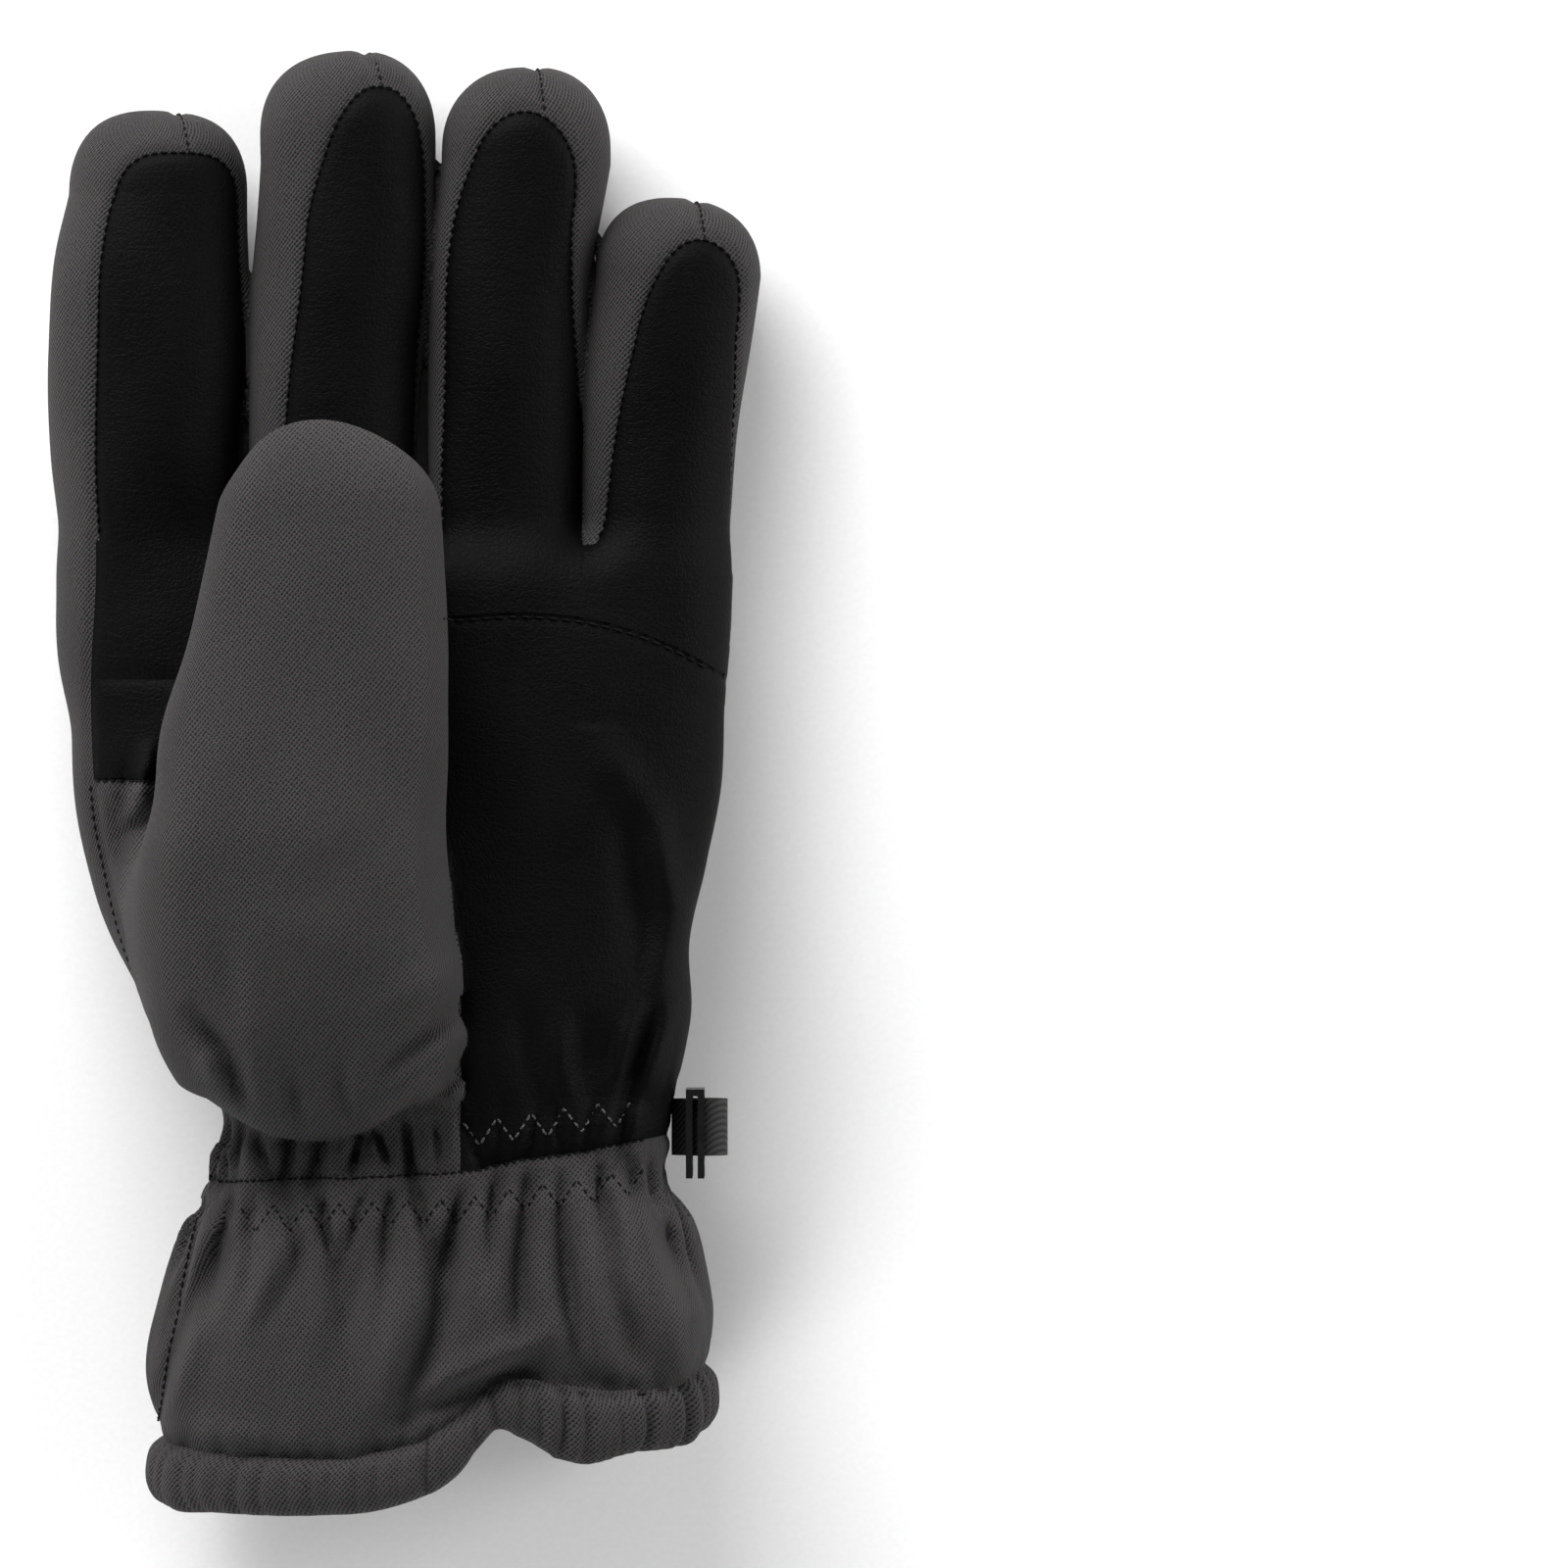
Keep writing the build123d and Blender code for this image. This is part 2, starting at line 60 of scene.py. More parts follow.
# each finger: stations, then the middle x, half width, middle z and half depth there, and its tip;
# joint is where it bends and cut is where its own piece starts; leather gives the angles round the
# finger of its leather's sides, the stations where its arch starts and ends, and the arch's power;
# root gives the sides' angles where the finger starts, and lean how far the arch's left side turns
# over; dart gives x at the arch and x at the very tip of the seam over the fingertip
FINGERS = {
    "index": dict(st=(160, 190, 205, 224, 241, 256), x=(-50.3, -49.6, -50.1, -50.3, -49.7, -48.2),
                  w=(16.9, 17.4, 18.8, 19.6, 19.2, 17.5), z=(17.5, 17.5, 17.4, 17.3, 17, 16.5),
                  d=(15, 16.2, 16.4, 16.4, 16, 15), tip=273.0, joint=222.0, cut=197.0,
                  leather=(-31, 72, 246, 263.6, 3.4), root=(-33, 86), lean=0, dart=(-41.0, -44.8)),
    "middle": dict(st=(160, 190, 205, 222, 240, 262), x=(-14.5, -14.5, -14.2, -13.4, -12.2, -10.8),
                   w=(15, 16.2, 16.6, 16.9, 17.5, 17.2), z=(17.5, 17, 17, 17, 17, 16.8),
                   d=(14.5, 15.4, 15.6, 15.8, 15.8, 15.6), tip=284.0, joint=228.0, cut=204.0,
                   leather=(-25, 68, 250, 276.5, 2.5), root=(-36, 84), lean=14, dart=(-3.4, -7.8)),
    "ring": dict(st=(160, 190, 205, 222, 240, 262), x=(18.5, 19.6, 19.8, 19.9, 20.8, 23.4),
                 w=(14, 14.8, 15.2, 15.5, 15.9, 16.5), z=(16.5, 16.2, 16, 16, 16, 16),
                 d=(13.5, 14.2, 14.2, 14.4, 14.6, 14.9), tip=281.0, joint=226.0, cut=203.0,
                 leather=(-50, 46, 250, 271.5, 2.2), root=(-56, 92), lean=10, dart=(27.8, 25.6)),
    "little": dict(st=(155, 178, 195, 209, 224, 240), x=(47.5, 48.8, 49.4, 49.9, 51.2, 53.2),
                   w=(12.5, 13.9, 14.6, 15.2, 16.0, 16.2), z=(16, 15.6, 15.3, 15.2, 15.2, 15.2),
                   d=(12.5, 13.3, 13.5, 13.8, 14.1, 14.2), tip=255.6, joint=214.0, cut=194.0,
                   leather=(-26, 60, 228, 246.8, 2.2), root=(-46, 88), lean=10, dart=(59.0, 56.8)),
}
# the palm, wrist and cuff: stations, middle x, half width, middle z, half depth
TRUNK = dict(
    st=(-12, 4, 16, 28, 44, 56, 64, 70, 78, 86, 96, 110, 125, 140, 155, 172, 190),
    x=(6, 6, 6.2, 5.3, 7.0, 7.4, 6.6, 8.0, 8.3, 6.6, 4.6, -0.2, -1.1, -1.4, -1.5, -1.5, -1.2),
    w=(55.5, 55, 54.4, 55, 53.5, 49.2, 44.9, 44.0, 43.8, 47.2, 51.3, 55.8, 60, 63.2, 63.7, 64, 63.8),
    z=(27, 27, 27, 27, 26.5, 24.5, 22.6, 21.6, 21.6, 21.8, 21.8, 21.4, 20.8, 20.2, 19.4, 18.2, 17),
    d=(27, 27, 27, 27, 26.3, 24, 21.8, 20.8, 21.2, 21.8, 21.8, 21.4, 20.8, 20.2, 19.4, 17.8, 15.3))
TRUNK_POWER = 2.6
# the thumb and the ball of the thumb, as one bulge
THUMB = dict(
    st=(60, 72, 80, 92, 104, 118, 130, 142, 155, 168, 180, 194, 202, 213),
    x=(-12, -12.0, -13.8, -17.0, -18.8, -20.2, -20.0, -18.8, -17.1, -15.0, -13.8, -13.0, -13.0, -16.5),
    w=(20, 23.4, 26.8, 30.2, 30.8, 30.2, 29.4, 28.3, 26.6, 24.9, 23.4, 21.6, 20.0, 19.2),
    z=(36, 37, 39, 41, 43, 46, 49.5, 52.6, 53.4, 53.0, 52.4, 51.4, 51, 51),
    d=(8, 12.6, 15.8, 20, 22, 21.5, 19.5, 15.2, 13.4, 13.0, 12.8, 12.3, 12, 12), tip=210.4, dome=2.0)


def station(p):
    return p[..., 1] + HALF_LENGTH


def along(q, stations, values):
    """A smooth run through values at stations: cubic between neighbours, with slopes taken from both
    sides, and flat beyond the ends."""
    s, v = np.asarray(stations, float), np.asarray(values, float)
    slope = np.gradient(v, s)
    q = np.clip(q, s[0], s[-1])
    i = np.clip(np.searchsorted(s, q, side="right") - 1, 0, len(s) - 2)
    h = s[i + 1] - s[i]
    t = (q - s[i]) / h
    return ((1 + 2 * t) * (1 - t) ** 2 * v[i] + t * (1 - t) ** 2 * h * slope[i]
            + t * t * (3 - 2 * t) * v[i + 1] + t * t * (t - 1) * h * slope[i + 1])


def step(x, low, high):
    """0 below low, 1 above high, smooth between."""
    t = np.clip((x - low) / (high - low), 0, 1)
    return t * t * (3 - 2 * t)


def bell(x, width):
    """1 at 0, falling to e^-1 at the width."""
    return np.exp(-((x / width) ** 2))


def smooth_min(a, b, k):
    """The lower of two fields, rounded where they cross over a width k."""
    h = np.clip(0.5 + 0.5 * (b - a) / k, 0, 1)
    return b + (a - b) * h - k * h * (1 - h)


DOME_POWER = 2.3          # the fingertips are a little squarer than a ball
LEAST_SLOPE = 1 / 60      # of a tube's field, near its middle line


def tube_field(p, shape, power, tip=None, heel=None):
    """About the distance to a tube along y, whose section is a rounded ellipse of half width w and
    half depth d around (x, z): ((dx/w)^n + (dz/d)^n)^(1/n) - 1, over its slope. A tip closes the tube
    with a dome as long as the section's mean radius, and a heel with a dome from a station on."""
    s = station(p)
    x, w = along(s, shape["st"], shape["x"]), along(s, shape["st"], shape["w"])
    z, d = along(s, shape["st"], shape["z"]), along(s, shape["st"], shape["d"])
    u, v = np.abs(p[..., 0] - x) / w, np.abs(p[..., 2] - z) / d
    e = np.zeros_like(u)
    reach = 1.0
    if tip is not None:
        reach = tip_reach(shape)
        e = np.maximum(s - (tip - reach), 0) / reach
    if heel is not None:
        e = np.maximum(e, np.maximum(heel[0] + heel[1] - s, 0) / heel[1])
    across = (u**power + v**power + 1e-9) ** (1 / power)
    dome = shape.get("dome", DOME_POWER)
    k = (across**dome + e**dome) ** (1 / dome)
    slope = np.sqrt((u ** (power - 1) / w) ** 2 + (v ** (power - 1) / d) ** 2) / across ** (power - 1)
    slope = np.sqrt((slope * across) ** 2 + (e / reach) ** 2) / np.maximum(k, 1e-6)
    return (k - 1) / np.maximum(slope, LEAST_SLOPE)


def tip_reach(shape):
    """The length of the dome that closes a finger."""
    return 0.53 * (shape["w"][-1] + shape["d"][-1])


FINGER_POWER = 2.15
FINGER_HEEL = (152, 22)   # where a finger's tube ends inside the palm, and its dome there
THUMB_POWER = 2.35
LIP_DOME = 7              # length of the dome at the lower end of the thumb's ball


def finger_field(p, name):
    """A finger's tube: nearly round, with a round tip, ending inside the palm."""
    return tube_field(p, FINGERS[name], FINGER_POWER, tip=FINGERS[name]["tip"], heel=FINGER_HEEL)


def thumb_field(p):
    """The thumb and its ball: a broad flattened tube that rests on the palm. Its lower end is a lip,
    puckered where the wrist's elastic draws it in."""
    lip = along(p[..., 0], (-37, -30, -17.5, -6, 1.5, 12), (76.5, 73.2, 71.4, 73.6, 76.4, 74))
    return tube_field(p, THUMB, THUMB_POWER, tip=THUMB["tip"], heel=(lip, LIP_DOME))


def wrist_seam(x):
    """The station of the seam between the hand and the cuff."""
    return along(x, (-60, -36, -15, 8, 14, 24, 36, 52, 70), (63, 64, 65, 66, 66.4, 68.4, 69.8, 72.6, 74))


def hem_edge(x):
    """The station of the hem's lower edge, wavy across the glove."""
    return along(x, (-52, -46, -36, -15, -4, 4, 9, 13, 16, 20, 25, 28, 31, 35, 38, 42, 46, 54, 58, 62),
                 (5, 1.2, 0.7, 0.6, 1.5, 3.8, 6, 9.4, 13.5, 17, 15.4, 14, 12, 10.7, 10.2, 10.9, 12, 12.7,
                  13.5, 17))


ZIGZAG = 6.5              # pitch of the stitches that hold the wrist's elastic
CUFF_STITCH = 8.0         # from the wrist seam to the line that gathers the cuff, by its stitched row


def hem_top(x):
    """The station of the hem's seam to the cuff, a band's height over its edge."""
    return along(x, (-52, -46, -34, -25, -8, 5, 13, 20, 26, 32, 42, 50, 56, 62),
                 (15.5, 13.2, 11.8, 11.2, 11.5, 14.8, 19.5, 25, 26, 25, 23.5, 24, 25.5, 29))


def valleys(low, high, pitch, uneven, reach):
    """Creases that an elastic pulls into the cloth, as rows of place, width, depth, lean, reach."""
    place = np.arange(low, high, pitch)
    n = len(place)
    return np.stack([place + rng.uniform(-uneven, uneven, n), rng.uniform(1.1, 1.9, n),
                     rng.uniform(0.55, 1.2, n), rng.uniform(-0.3, 0.3, n),
                     rng.uniform(0.5, 1.6, n) * reach], axis=1)


FIRST_STITCH = -34        # x where the cuff's zigzag row starts
CUFF_VALLEYS = valleys(FIRST_STITCH - 5 * ZIGZAG, 84, ZIGZAG, 0.9, 13.0)
BAND_VALLEYS = valleys(-66, 80, 5.7, 1.0, 7.0)
HEM_VALLEYS = valleys(-76, 88, 4.3, 1.2, 6.0)
# soft folds: from x, station to x, station, width and height, with valleys below 0. First those of
# the cuff, then the palm's creases, then the tuck beside the thumb's crotch
FOLDS = (
    (12, 57, 9, 40, 2.4, -4.2), (9, 40, 1, 20, 2.8, -4.6), (5, 52, -2, 24, 4.2, 3.2),
    (16, 52, 16, 30, 4.0, 3.0), (1, 19, 27, 31, 2.2, -3.6), (6, 25, 31, 36, 3.4, 3.4),
    (23, 56, 24, 36, 2.2, -3.2), (31, 57, 35, 30, 2.3, -3.4), (27, 50, 30, 34, 2.8, 2.4),
    (40, 60, 41, 44, 2.0, -3.2), (41, 44, 47, 28, 2.8, -3.4), (47, 62, 56, 42, 2.2, -3.0),
    (51, 46, 54, 28, 3.6, 2.6), (-30, 57, -38, 38, 2.2, -2.8), (-36, 52, -46, 22, 1.8, -2.2),
    (-16, 56, -25, 38, 2.6, -2.4), (-6, 56, -9, 38, 2.2, -2.4), (-22, 52, -29, 36, 2.6, 1.8),
    (34, 27, 44, 25, 2.4, -2.2), (-42, 17, -20, 15, 2.6, 1.2), (36, 50, 38, 32, 2.6, 1.8),
    (-12, 50, -17, 30, 3.2, 1.4), (-38, 40, -43, 22, 3.0, 1.6), (12, 26, 30, 28, 2.0, -1.6),
    (38, 150, 49, 132, 4.2, 1.8), (49, 132, 52.5, 116, 3.8, 2.8), (52.5, 116, 50, 98, 3.4, 2.6),
    (44, 138, 47.5, 106, 4.5, -2.0), (46, 98, 41, 83, 2.2, 2.2), (53, 100, 47, 82, 2.1, 2.2),
    (49, 96, 44, 81, 1.7, -2.2), (36, 94, 36, 82, 2.6, -1.8), (24, 98, 26, 82, 3.0, -1.6),
    (31, 96, 31, 82, 2.4, 1.2), (41, 92, 40, 82, 1.8, -1.4),
    (-45, 148, -46.5, 137, 1.3, -4.0), (-46.5, 137, -53, 131, 1.6, -3.0),
    (-49, 147, -50.5, 135, 1.7, 2.8), (-53, 144, -54, 134, 1.5, -1.4), (-56, 137, -53, 124, 2.4, -1.4),
)


def around(p):
    """A coordinate that runs round the tube: x on the upper face, and beyond it down the sides."""
    s = station(p)
    x, w = along(s, TRUNK["st"], TRUNK["x"]), along(s, TRUNK["st"], TRUNK["w"])
    z = along(s, TRUNK["st"], TRUNK["z"])
    drop = np.maximum(z + 12 - p[..., 2], 0)
    side = np.sign(p[..., 0] - x)
    return p[..., 0] + side * drop * step(np.abs(p[..., 0] - x), 0.55 * w, 0.95 * w)


def valley_depth(c, s, rows, line, above):
    """How deep the creases are at a coordinate c round the glove and a station s: each is sharp at
    its bottom, starts at the line that gathers it, fades away from it and widens as it goes."""
    total = np.zeros_like(s)
    for place, width, depth, lean, reach in rows:
        near = np.flatnonzero(np.abs(c - place) < 12)
        away = (s - line)[near]
        fade = np.where(away > 0, bell(away, above), bell(away, reach))
        off = np.abs(c[near] - place - lean * away) / (width * (1 + np.abs(away) / 9))
        total[near] += depth * fade * np.exp(-(off**1.2))
    return total


def fold_height(p, s, folds):
    """The sum of the folds: each a bell across its line, fullest in the middle of its length."""
    total = np.zeros_like(s)
    for x0, s0, x1, s1, width, height in folds:
        dx, ds = x1 - x0, s1 - s0
        t = np.clip(((p[..., 0] - x0) * dx + (s - s0) * ds) / (dx * dx + ds * ds), 0, 1)
        off = np.hypot(p[..., 0] - x0 - t * dx, s - s0 - t * ds)
        total += height * (0.4 + 0.6 * np.sin(np.pi * t)) * bell(off, width)
    return total


def gathers(p, s):
    """How far the elastics and the folds take the skin outwards, in the part near the wrist."""
    c, seam, hem = around(p), wrist_seam(p[..., 0]), hem_top(p[..., 0])
    cuff_line = seam - CUFF_STITCH
    puffed = 2.4 * bell(s - cuff_line + 3, 10) + 2.2 * bell(s - seam - 5, 8)
    beside_loop = step(p[..., 0], 44, 50) * bell(s - 73, 13)
    on_leather = 1 - 0.35 * step(p[..., 0], 12, 16) * step(s, 68, 72)
    creases = (6.4 + 1.0 * step(c, 12, 24)) * valley_depth(c, s, CUFF_VALLEYS, cuff_line, 5.0)
    creases += 5.4 * on_leather * valley_depth(c, s, BAND_VALLEYS, seam + 5, 6.5)
    creases += 1.3 * bell(s - hem, 7) * valley_depth(c, s, HEM_VALLEYS, hem, 9.0)
    return (puffed - creases) * (1 - beside_loop) - 1.6 * bell(s - hem, 2.2)


def trunk_field(p):
    """The palm, the wrist and the cuff, with their gathers and folds."""
    s = station(p)
    base = tube_field(p, TRUNK, TRUNK_POWER)
    base = -smooth_min(-base, -(s - WEB_STATION), 9.0)
    shaped = (s > 4) & (s < 152) & (np.abs(base) < 9)
    q, t = p[shaped], s[shaped]
    on_palm_side = step(q[..., 2], 20, 32)
    base[shaped] -= gathers(q, t) + fold_height(q, t, FOLDS) * on_palm_side
    return base


def hand_field(p):
    """The palm and the fingers, joined smoothly, with sharp creases between the fingers."""
    digits = np.full(p.shape[:-1], 1e3)
    for name in FINGERS:
        digits = smooth_min(digits, finger_field(p, name), 1.0)
    return smooth_min(trunk_field(p), digits, 6.5)


def swell(p):
    """Slow soft swelling of the padding: sums of long waves, under a millimetre high."""
    x, y, z = p[..., 0], p[..., 1], p[..., 2]
    return (0.40 * np.sin(x / 9.1 + 1.1 * np.sin(y / 15)) * np.sin(y / 12.3 + 0.7)
            + 0.28 * np.sin(x / 4.7 + z / 6 + 2.0) * np.sin(y / 7.9 + 1.3 * np.sin(x / 11)))


# the thumb panel's creases, as the folds above: gathered into the wrist and tucked at its crotch
THUMB_FOLDS = (
    (-38, 97, -31, 88, 2.2, -3.2), (-31, 88, -29, 80, 1.8, -3.0), (-37, 90, -34, 84, 2.2, 2.0),
    (-27, 100, -25, 82, 4.0, 1.6), (-20, 86, -18, 76, 1.8, -1.8), (-10, 86, -9, 76, 1.8, -1.8),
    (12, 98, -5, 85, 2.4, -2.2), (13, 88, 3, 75, 1.9, -3.0), (10, 92, 0, 82, 2.6, 2.2),
    (12, 106, -4, 96, 4.0, 1.4), (5, 82, -1, 75, 1.8, -2.0), (-28, 116, -6, 110, 6.0, 0.8),
    (0, 134, -14, 120, 5.0, -0.9), (-4, 90, -10, 78, 3.0, 1.4), (-33, 112, -30, 98, 3.0, -1.0),
)


def thumb_skin(p):
    """The thumb with its creases, and with a hollow at its crotch."""
    s = station(p)
    hollow = 1.8 * bell(p[..., 0] + 47, 5) * bell(s - 139, 10)
    return thumb_field(p) - (fold_height(p, s, THUMB_FOLDS) - hollow)


def skin_field(p):
    """The whole outer skin: hand and thumb, joined softly on the index side of the thumb's ball, and
    with a crease elsewhere."""
    s = station(p)
    soft = 0.6 + 14 * step(-p[..., 0], 8, 34) * (1 - step(s, 122, 141)) * step(s, 84, 98)
    return smooth_min(hand_field(p), thumb_skin(p), soft) - swell(p)


def gradient(field, p, f, h=0.05):
    """The field's slope at each point, by differences from its value f."""
    return np.stack([(field(p + h * axis) - f) / h for axis in np.eye(3)], -1)


def grid_surface(field, low, high, h):
    """The closed surface where field is 0. The box is cut into cubes of side h; each cube that the
    surface crosses gets one point, the mean of its edges' crossings, and each grid edge that it
    crosses gets a face between the four cubes round it. The points then slide onto the surface."""
    axes = [np.arange(a, b + h, h) for a, b in zip(low, high)]
    f = np.empty([len(a) for a in axes], np.float32)
    for i, x in enumerate(axes[0]):
        y, z = np.meshgrid(axes[1], axes[2], indexing="ij")
        f[i] = field(np.stack([np.full_like(y, x), y, z], -1))
    inside = f < 0
    cells = tuple(k - 1 for k in f.shape)
    corner = [(i, j, k) for i in (0, 1) for j in (0, 1) for k in (0, 1)]
    count = sum(inside[c[0]:c[0] + cells[0], c[1]:c[1] + cells[1], c[2]:c[2] + cells[2]].astype(np.int8)
                for c in corner)
    active = (count > 0) & (count < 8)
    index = np.full(cells, -1, np.int64)
    index[active] = np.arange(active.sum())
    where = np.argwhere(active)
    total, hits = np.zeros((len(where), 3)), np.zeros(len(where))
    for a in corner:
        for axis in range(3):
            if a[axis]:
                continue
            b = tuple(c + (k == axis) for k, c in enumerate(a))
            fa, fb = f[tuple((where + a).T)], f[tuple((where + b).T)]
            crossed = (fa < 0) != (fb < 0)
            point = np.broadcast_to(np.array(a, float), total.shape).copy()
            point[:, axis] = fa / np.where(crossed, fa - fb, 1)
            total += point * crossed[:, None]
            hits += crossed
    verts = (where + total / hits[:, None]) * h + np.array([a[0] for a in axes])
    quads = []
    for axis in range(3):
        u, v = (axis + 1) % 3, (axis + 2) % 3
        before, after = [slice(1, -1)] * 3, [slice(1, -1)] * 3
        before[axis], after[axis] = slice(0, -1), slice(1, None)
        offset = np.ones(3, int)
        offset[axis] = 0
        spots = np.argwhere(inside[tuple(before)] != inside[tuple(after)]) + offset
        ring = []
        for du, dv in ((1, 1), (0, 1), (0, 0), (1, 0)):
            q = spots.copy()
            q[:, u] -= du
            q[:, v] -= dv
            ring.append(index[tuple(q.T)])
        face = np.stack(ring, 1)
        outward = inside[tuple(spots.T)]
        face[~outward] = face[~outward][:, ::-1]
        quads.append(face)
    quads = np.concatenate(quads)
    for times in (1, 1, 2):
        verts = slide(field, relax(verts, quads), times)
    return verts, quads


def relax(verts, quads):
    """Moves each point halfway to the mean of its faces' middles."""
    middle = verts[quads].mean(1)
    total, hits = np.zeros_like(verts), np.zeros(len(verts))
    for k in range(4):
        np.add.at(total, quads[:, k], middle)
        np.add.at(hits, quads[:, k], 1)
    return 0.5 * verts + 0.5 * total / hits[:, None]


def slide(field, verts, times):
    """Moves points onto the surface along the field's slope."""
    for _ in range(times):
        f = field(verts)
        g = gradient(field, verts, f)
        verts = verts - np.clip(f / np.maximum((g * g).sum(1), 0.05), -1.0, 1.0)[:, None] * g
    return verts


skin_points, skin_quads = grid_surface(skin_field, *SKIN_BOX, GRID)

# ---- The seams that cut the skin into panels -----------------------------------------------------
# The panels are cut where the real ones are sewn: each seam is where a field is 0, and the skin's
# triangles are split along it, so that neighbouring panels share their edge points exactly. The
# stitches pull the skin in along each seam.


def split(verts, tris, values):
    """Splits each triangle that values change sign on, with new points where they are 0."""
    values = np.where(np.abs(values) < 1e-5, 1e-5, values)
    side = values[tris] < 0
    mixed = side.any(1) & ~side.all(1)
    keep, cut, flags = tris[~mixed], tris[mixed], side[mixed]
    lone = np.where(flags.sum(1)[:, None] == 1, flags, ~flags).argmax(1)
    row = np.arange(len(cut))
    a, b, c = cut[row, lone], cut[row, (lone + 1) % 3], cut[row, (lone + 2) % 3]
    pairs = np.concatenate([np.stack([a, b], 1), np.stack([a, c], 1)])
    pairs.sort(axis=1)
    unique, inverse = np.unique(pairs, axis=0, return_inverse=True)
    inverse = inverse.reshape(-1)
    va, vb = values[unique[:, 0]], values[unique[:, 1]]
    t = (va / (va - vb))[:, None]
    fresh = verts[unique[:, 0]] * (1 - t) + verts[unique[:, 1]] * t
    ab, ac = inverse[:len(cut)] + len(verts), inverse[len(cut):] + len(verts)
    new = np.concatenate([np.stack([a, ab, ac], 1), np.stack([ab, b, c], 1), np.stack([ab, c, ac], 1)])
    return np.concatenate([verts, fresh]), np.concatenate([keep, new])


def round_angle(p, shape):
    """The angle round a tube, 0 on the palm side and positive towards the little finger."""
    s = station(p)
    x, z = along(s, shape["st"], shape["x"]), along(s, shape["st"], shape["z"])
    return np.degrees(np.arctan2(p[..., 0] - x, p[..., 2] - z))


MM_PER_DEGREE = 0.3       # on a finger's skin


def leather_sides(name, s):
    """The middle and half of the angle that a finger's leather takes, which widens to the root."""
    finger = FINGERS[name]
    share = np.clip((finger["leather"][2] - s) / (finger["leather"][2] - 190), 0, 1.1)
    low = finger["leather"][0] + (finger["root"][0] - finger["leather"][0]) * share
    low = low + finger["lean"] * np.clip((s - finger["leather"][2]) / 26, 0, 1)
    high = finger["leather"][1] + (finger["root"][1] - finger["leather"][1]) * share
    return (low + high) / 2, (high - low) / 2


def finger_front(p, name):
    """Below 0 on a finger's leather: between two angles, and under an arch near the tip, whose
    corners are squarer for a higher power."""
    start, top, power = FINGERS[name]["leather"][2:]
    mid, half = leather_sides(name, station(p))
    u = np.abs(round_angle(p, FINGERS[name]) - mid) / half
    v = np.maximum(station(p) - start, 0) / (top - start)
    return ((u**power + v**power + 1e-9) ** (1 / power) - 1) * half * MM_PER_DEGREE


def nearest_finger(p):
    return np.argmin(np.stack([finger_field(p, n) for n in FINGERS]), axis=0)


def finger_border(p, k):
    """Below 0 on the side of finger k and those before it, above 0 past it."""
    names = list(FINGERS)
    before = np.min([finger_field(p, n) for n in names[:k + 1]], axis=0)
    after = np.min([finger_field(p, n) for n in names[k + 1:]], axis=0)
    return before - after


def fingers_front(p):
    """Below 0 on the leather of whichever finger a point is on."""
    return np.choose(nearest_finger(p), [finger_front(p, n) for n in FINGERS])


LEATHER_LEFT = 12.2       # the palm leather's edge beside the thumb's base
INDEX_CORNER = 141.4      # the station where the index finger's leather ends


def index_edge(s):
    """The x of the index side's seam, down to the corner of its leather."""
    return -60.2 + 0.6 * np.sin(s / 9)


def side_seam_z(s):
    """The height of the seam along the little finger's side of the hand."""
    return along(s, (60, 80, 125, 150, 184), (20, 19, 20, 19.5, 16.4))


LEATHER_OVERLAP = (184, 188)  # stations where both the palm and the fingers have their leather


def palm_front(p):
    """Below 0 on the palm's leather: above the side seams, and past the fabric round the thumb."""
    x, s = p[..., 0], station(p)
    left = np.where(s > 100, index_edge(s), LEATHER_LEFT) - x
    left = np.maximum(left, np.minimum(INDEX_CORNER - s, -20 - x))
    left = np.maximum(left, np.where(s < 73, LEATHER_LEFT - x, -50))
    return np.maximum(np.where(x > 0, side_seam_z(s), 16) - p[..., 2], left)


def leather(p):
    """Below 0 where the hand's skin is leather: the palm's and the fingers' run into each other where
    the fingers part."""
    s = station(p)
    first, last = LEATHER_OVERLAP
    return np.minimum(np.maximum(palm_front(p), s - last), np.maximum(fingers_front(p), first - s))


def patch_seam(x):
    """The station of the curved seam across the palm, under the fingers."""
    return along(x, (-40, 0, 10, 25, 39, 53, 61, 70), (172, 173, 173.3, 174, 172.3, 167.5, 163.2, 158))


def on_thumb(p):
    """Below 0 on the thumb and its ball."""
    return thumb_skin(p) - hand_field(p)


def thumb_under(p):
    """Below 0 on the thumb's inner side, which is leather."""
    return p[..., 2] - along(station(p), (130, 150, 212), (40, 50, 47))


INDEX_PANEL_EDGE = -31.2  # x between the index finger's own leather and the patch
INDEX_CROSS_SEAM = 161.0  # station of the seam across the index finger's leather
THUMB_START = 66.0        # station where the ball of the thumb starts
THUMB_LEATHER_START = 130.0   # and where the leather of the thumb's inner side does
points, tris = skin_points, np.concatenate([skin_quads[:, :3], skin_quads[:, [0, 2, 3]]])
for seam in (
    leather,
    lambda p: station(p) - wrist_seam(p[..., 0]),
    lambda p: station(p) - hem_top(p[..., 0]),
    lambda p: station(p) - patch_seam(p[..., 0]),
    on_thumb,
    thumb_under,
    lambda p: finger_border(p, 0),
    lambda p: finger_border(p, 1),
    lambda p: finger_border(p, 2),
    lambda p: p[..., 0] - INDEX_PANEL_EDGE,
    lambda p: station(p) - INDEX_CROSS_SEAM,
):
    points, tris = split(points, tris, seam(points))
for finger in FINGERS.values():
    points, tris = split(points, tris, station(points) - finger["cut"])

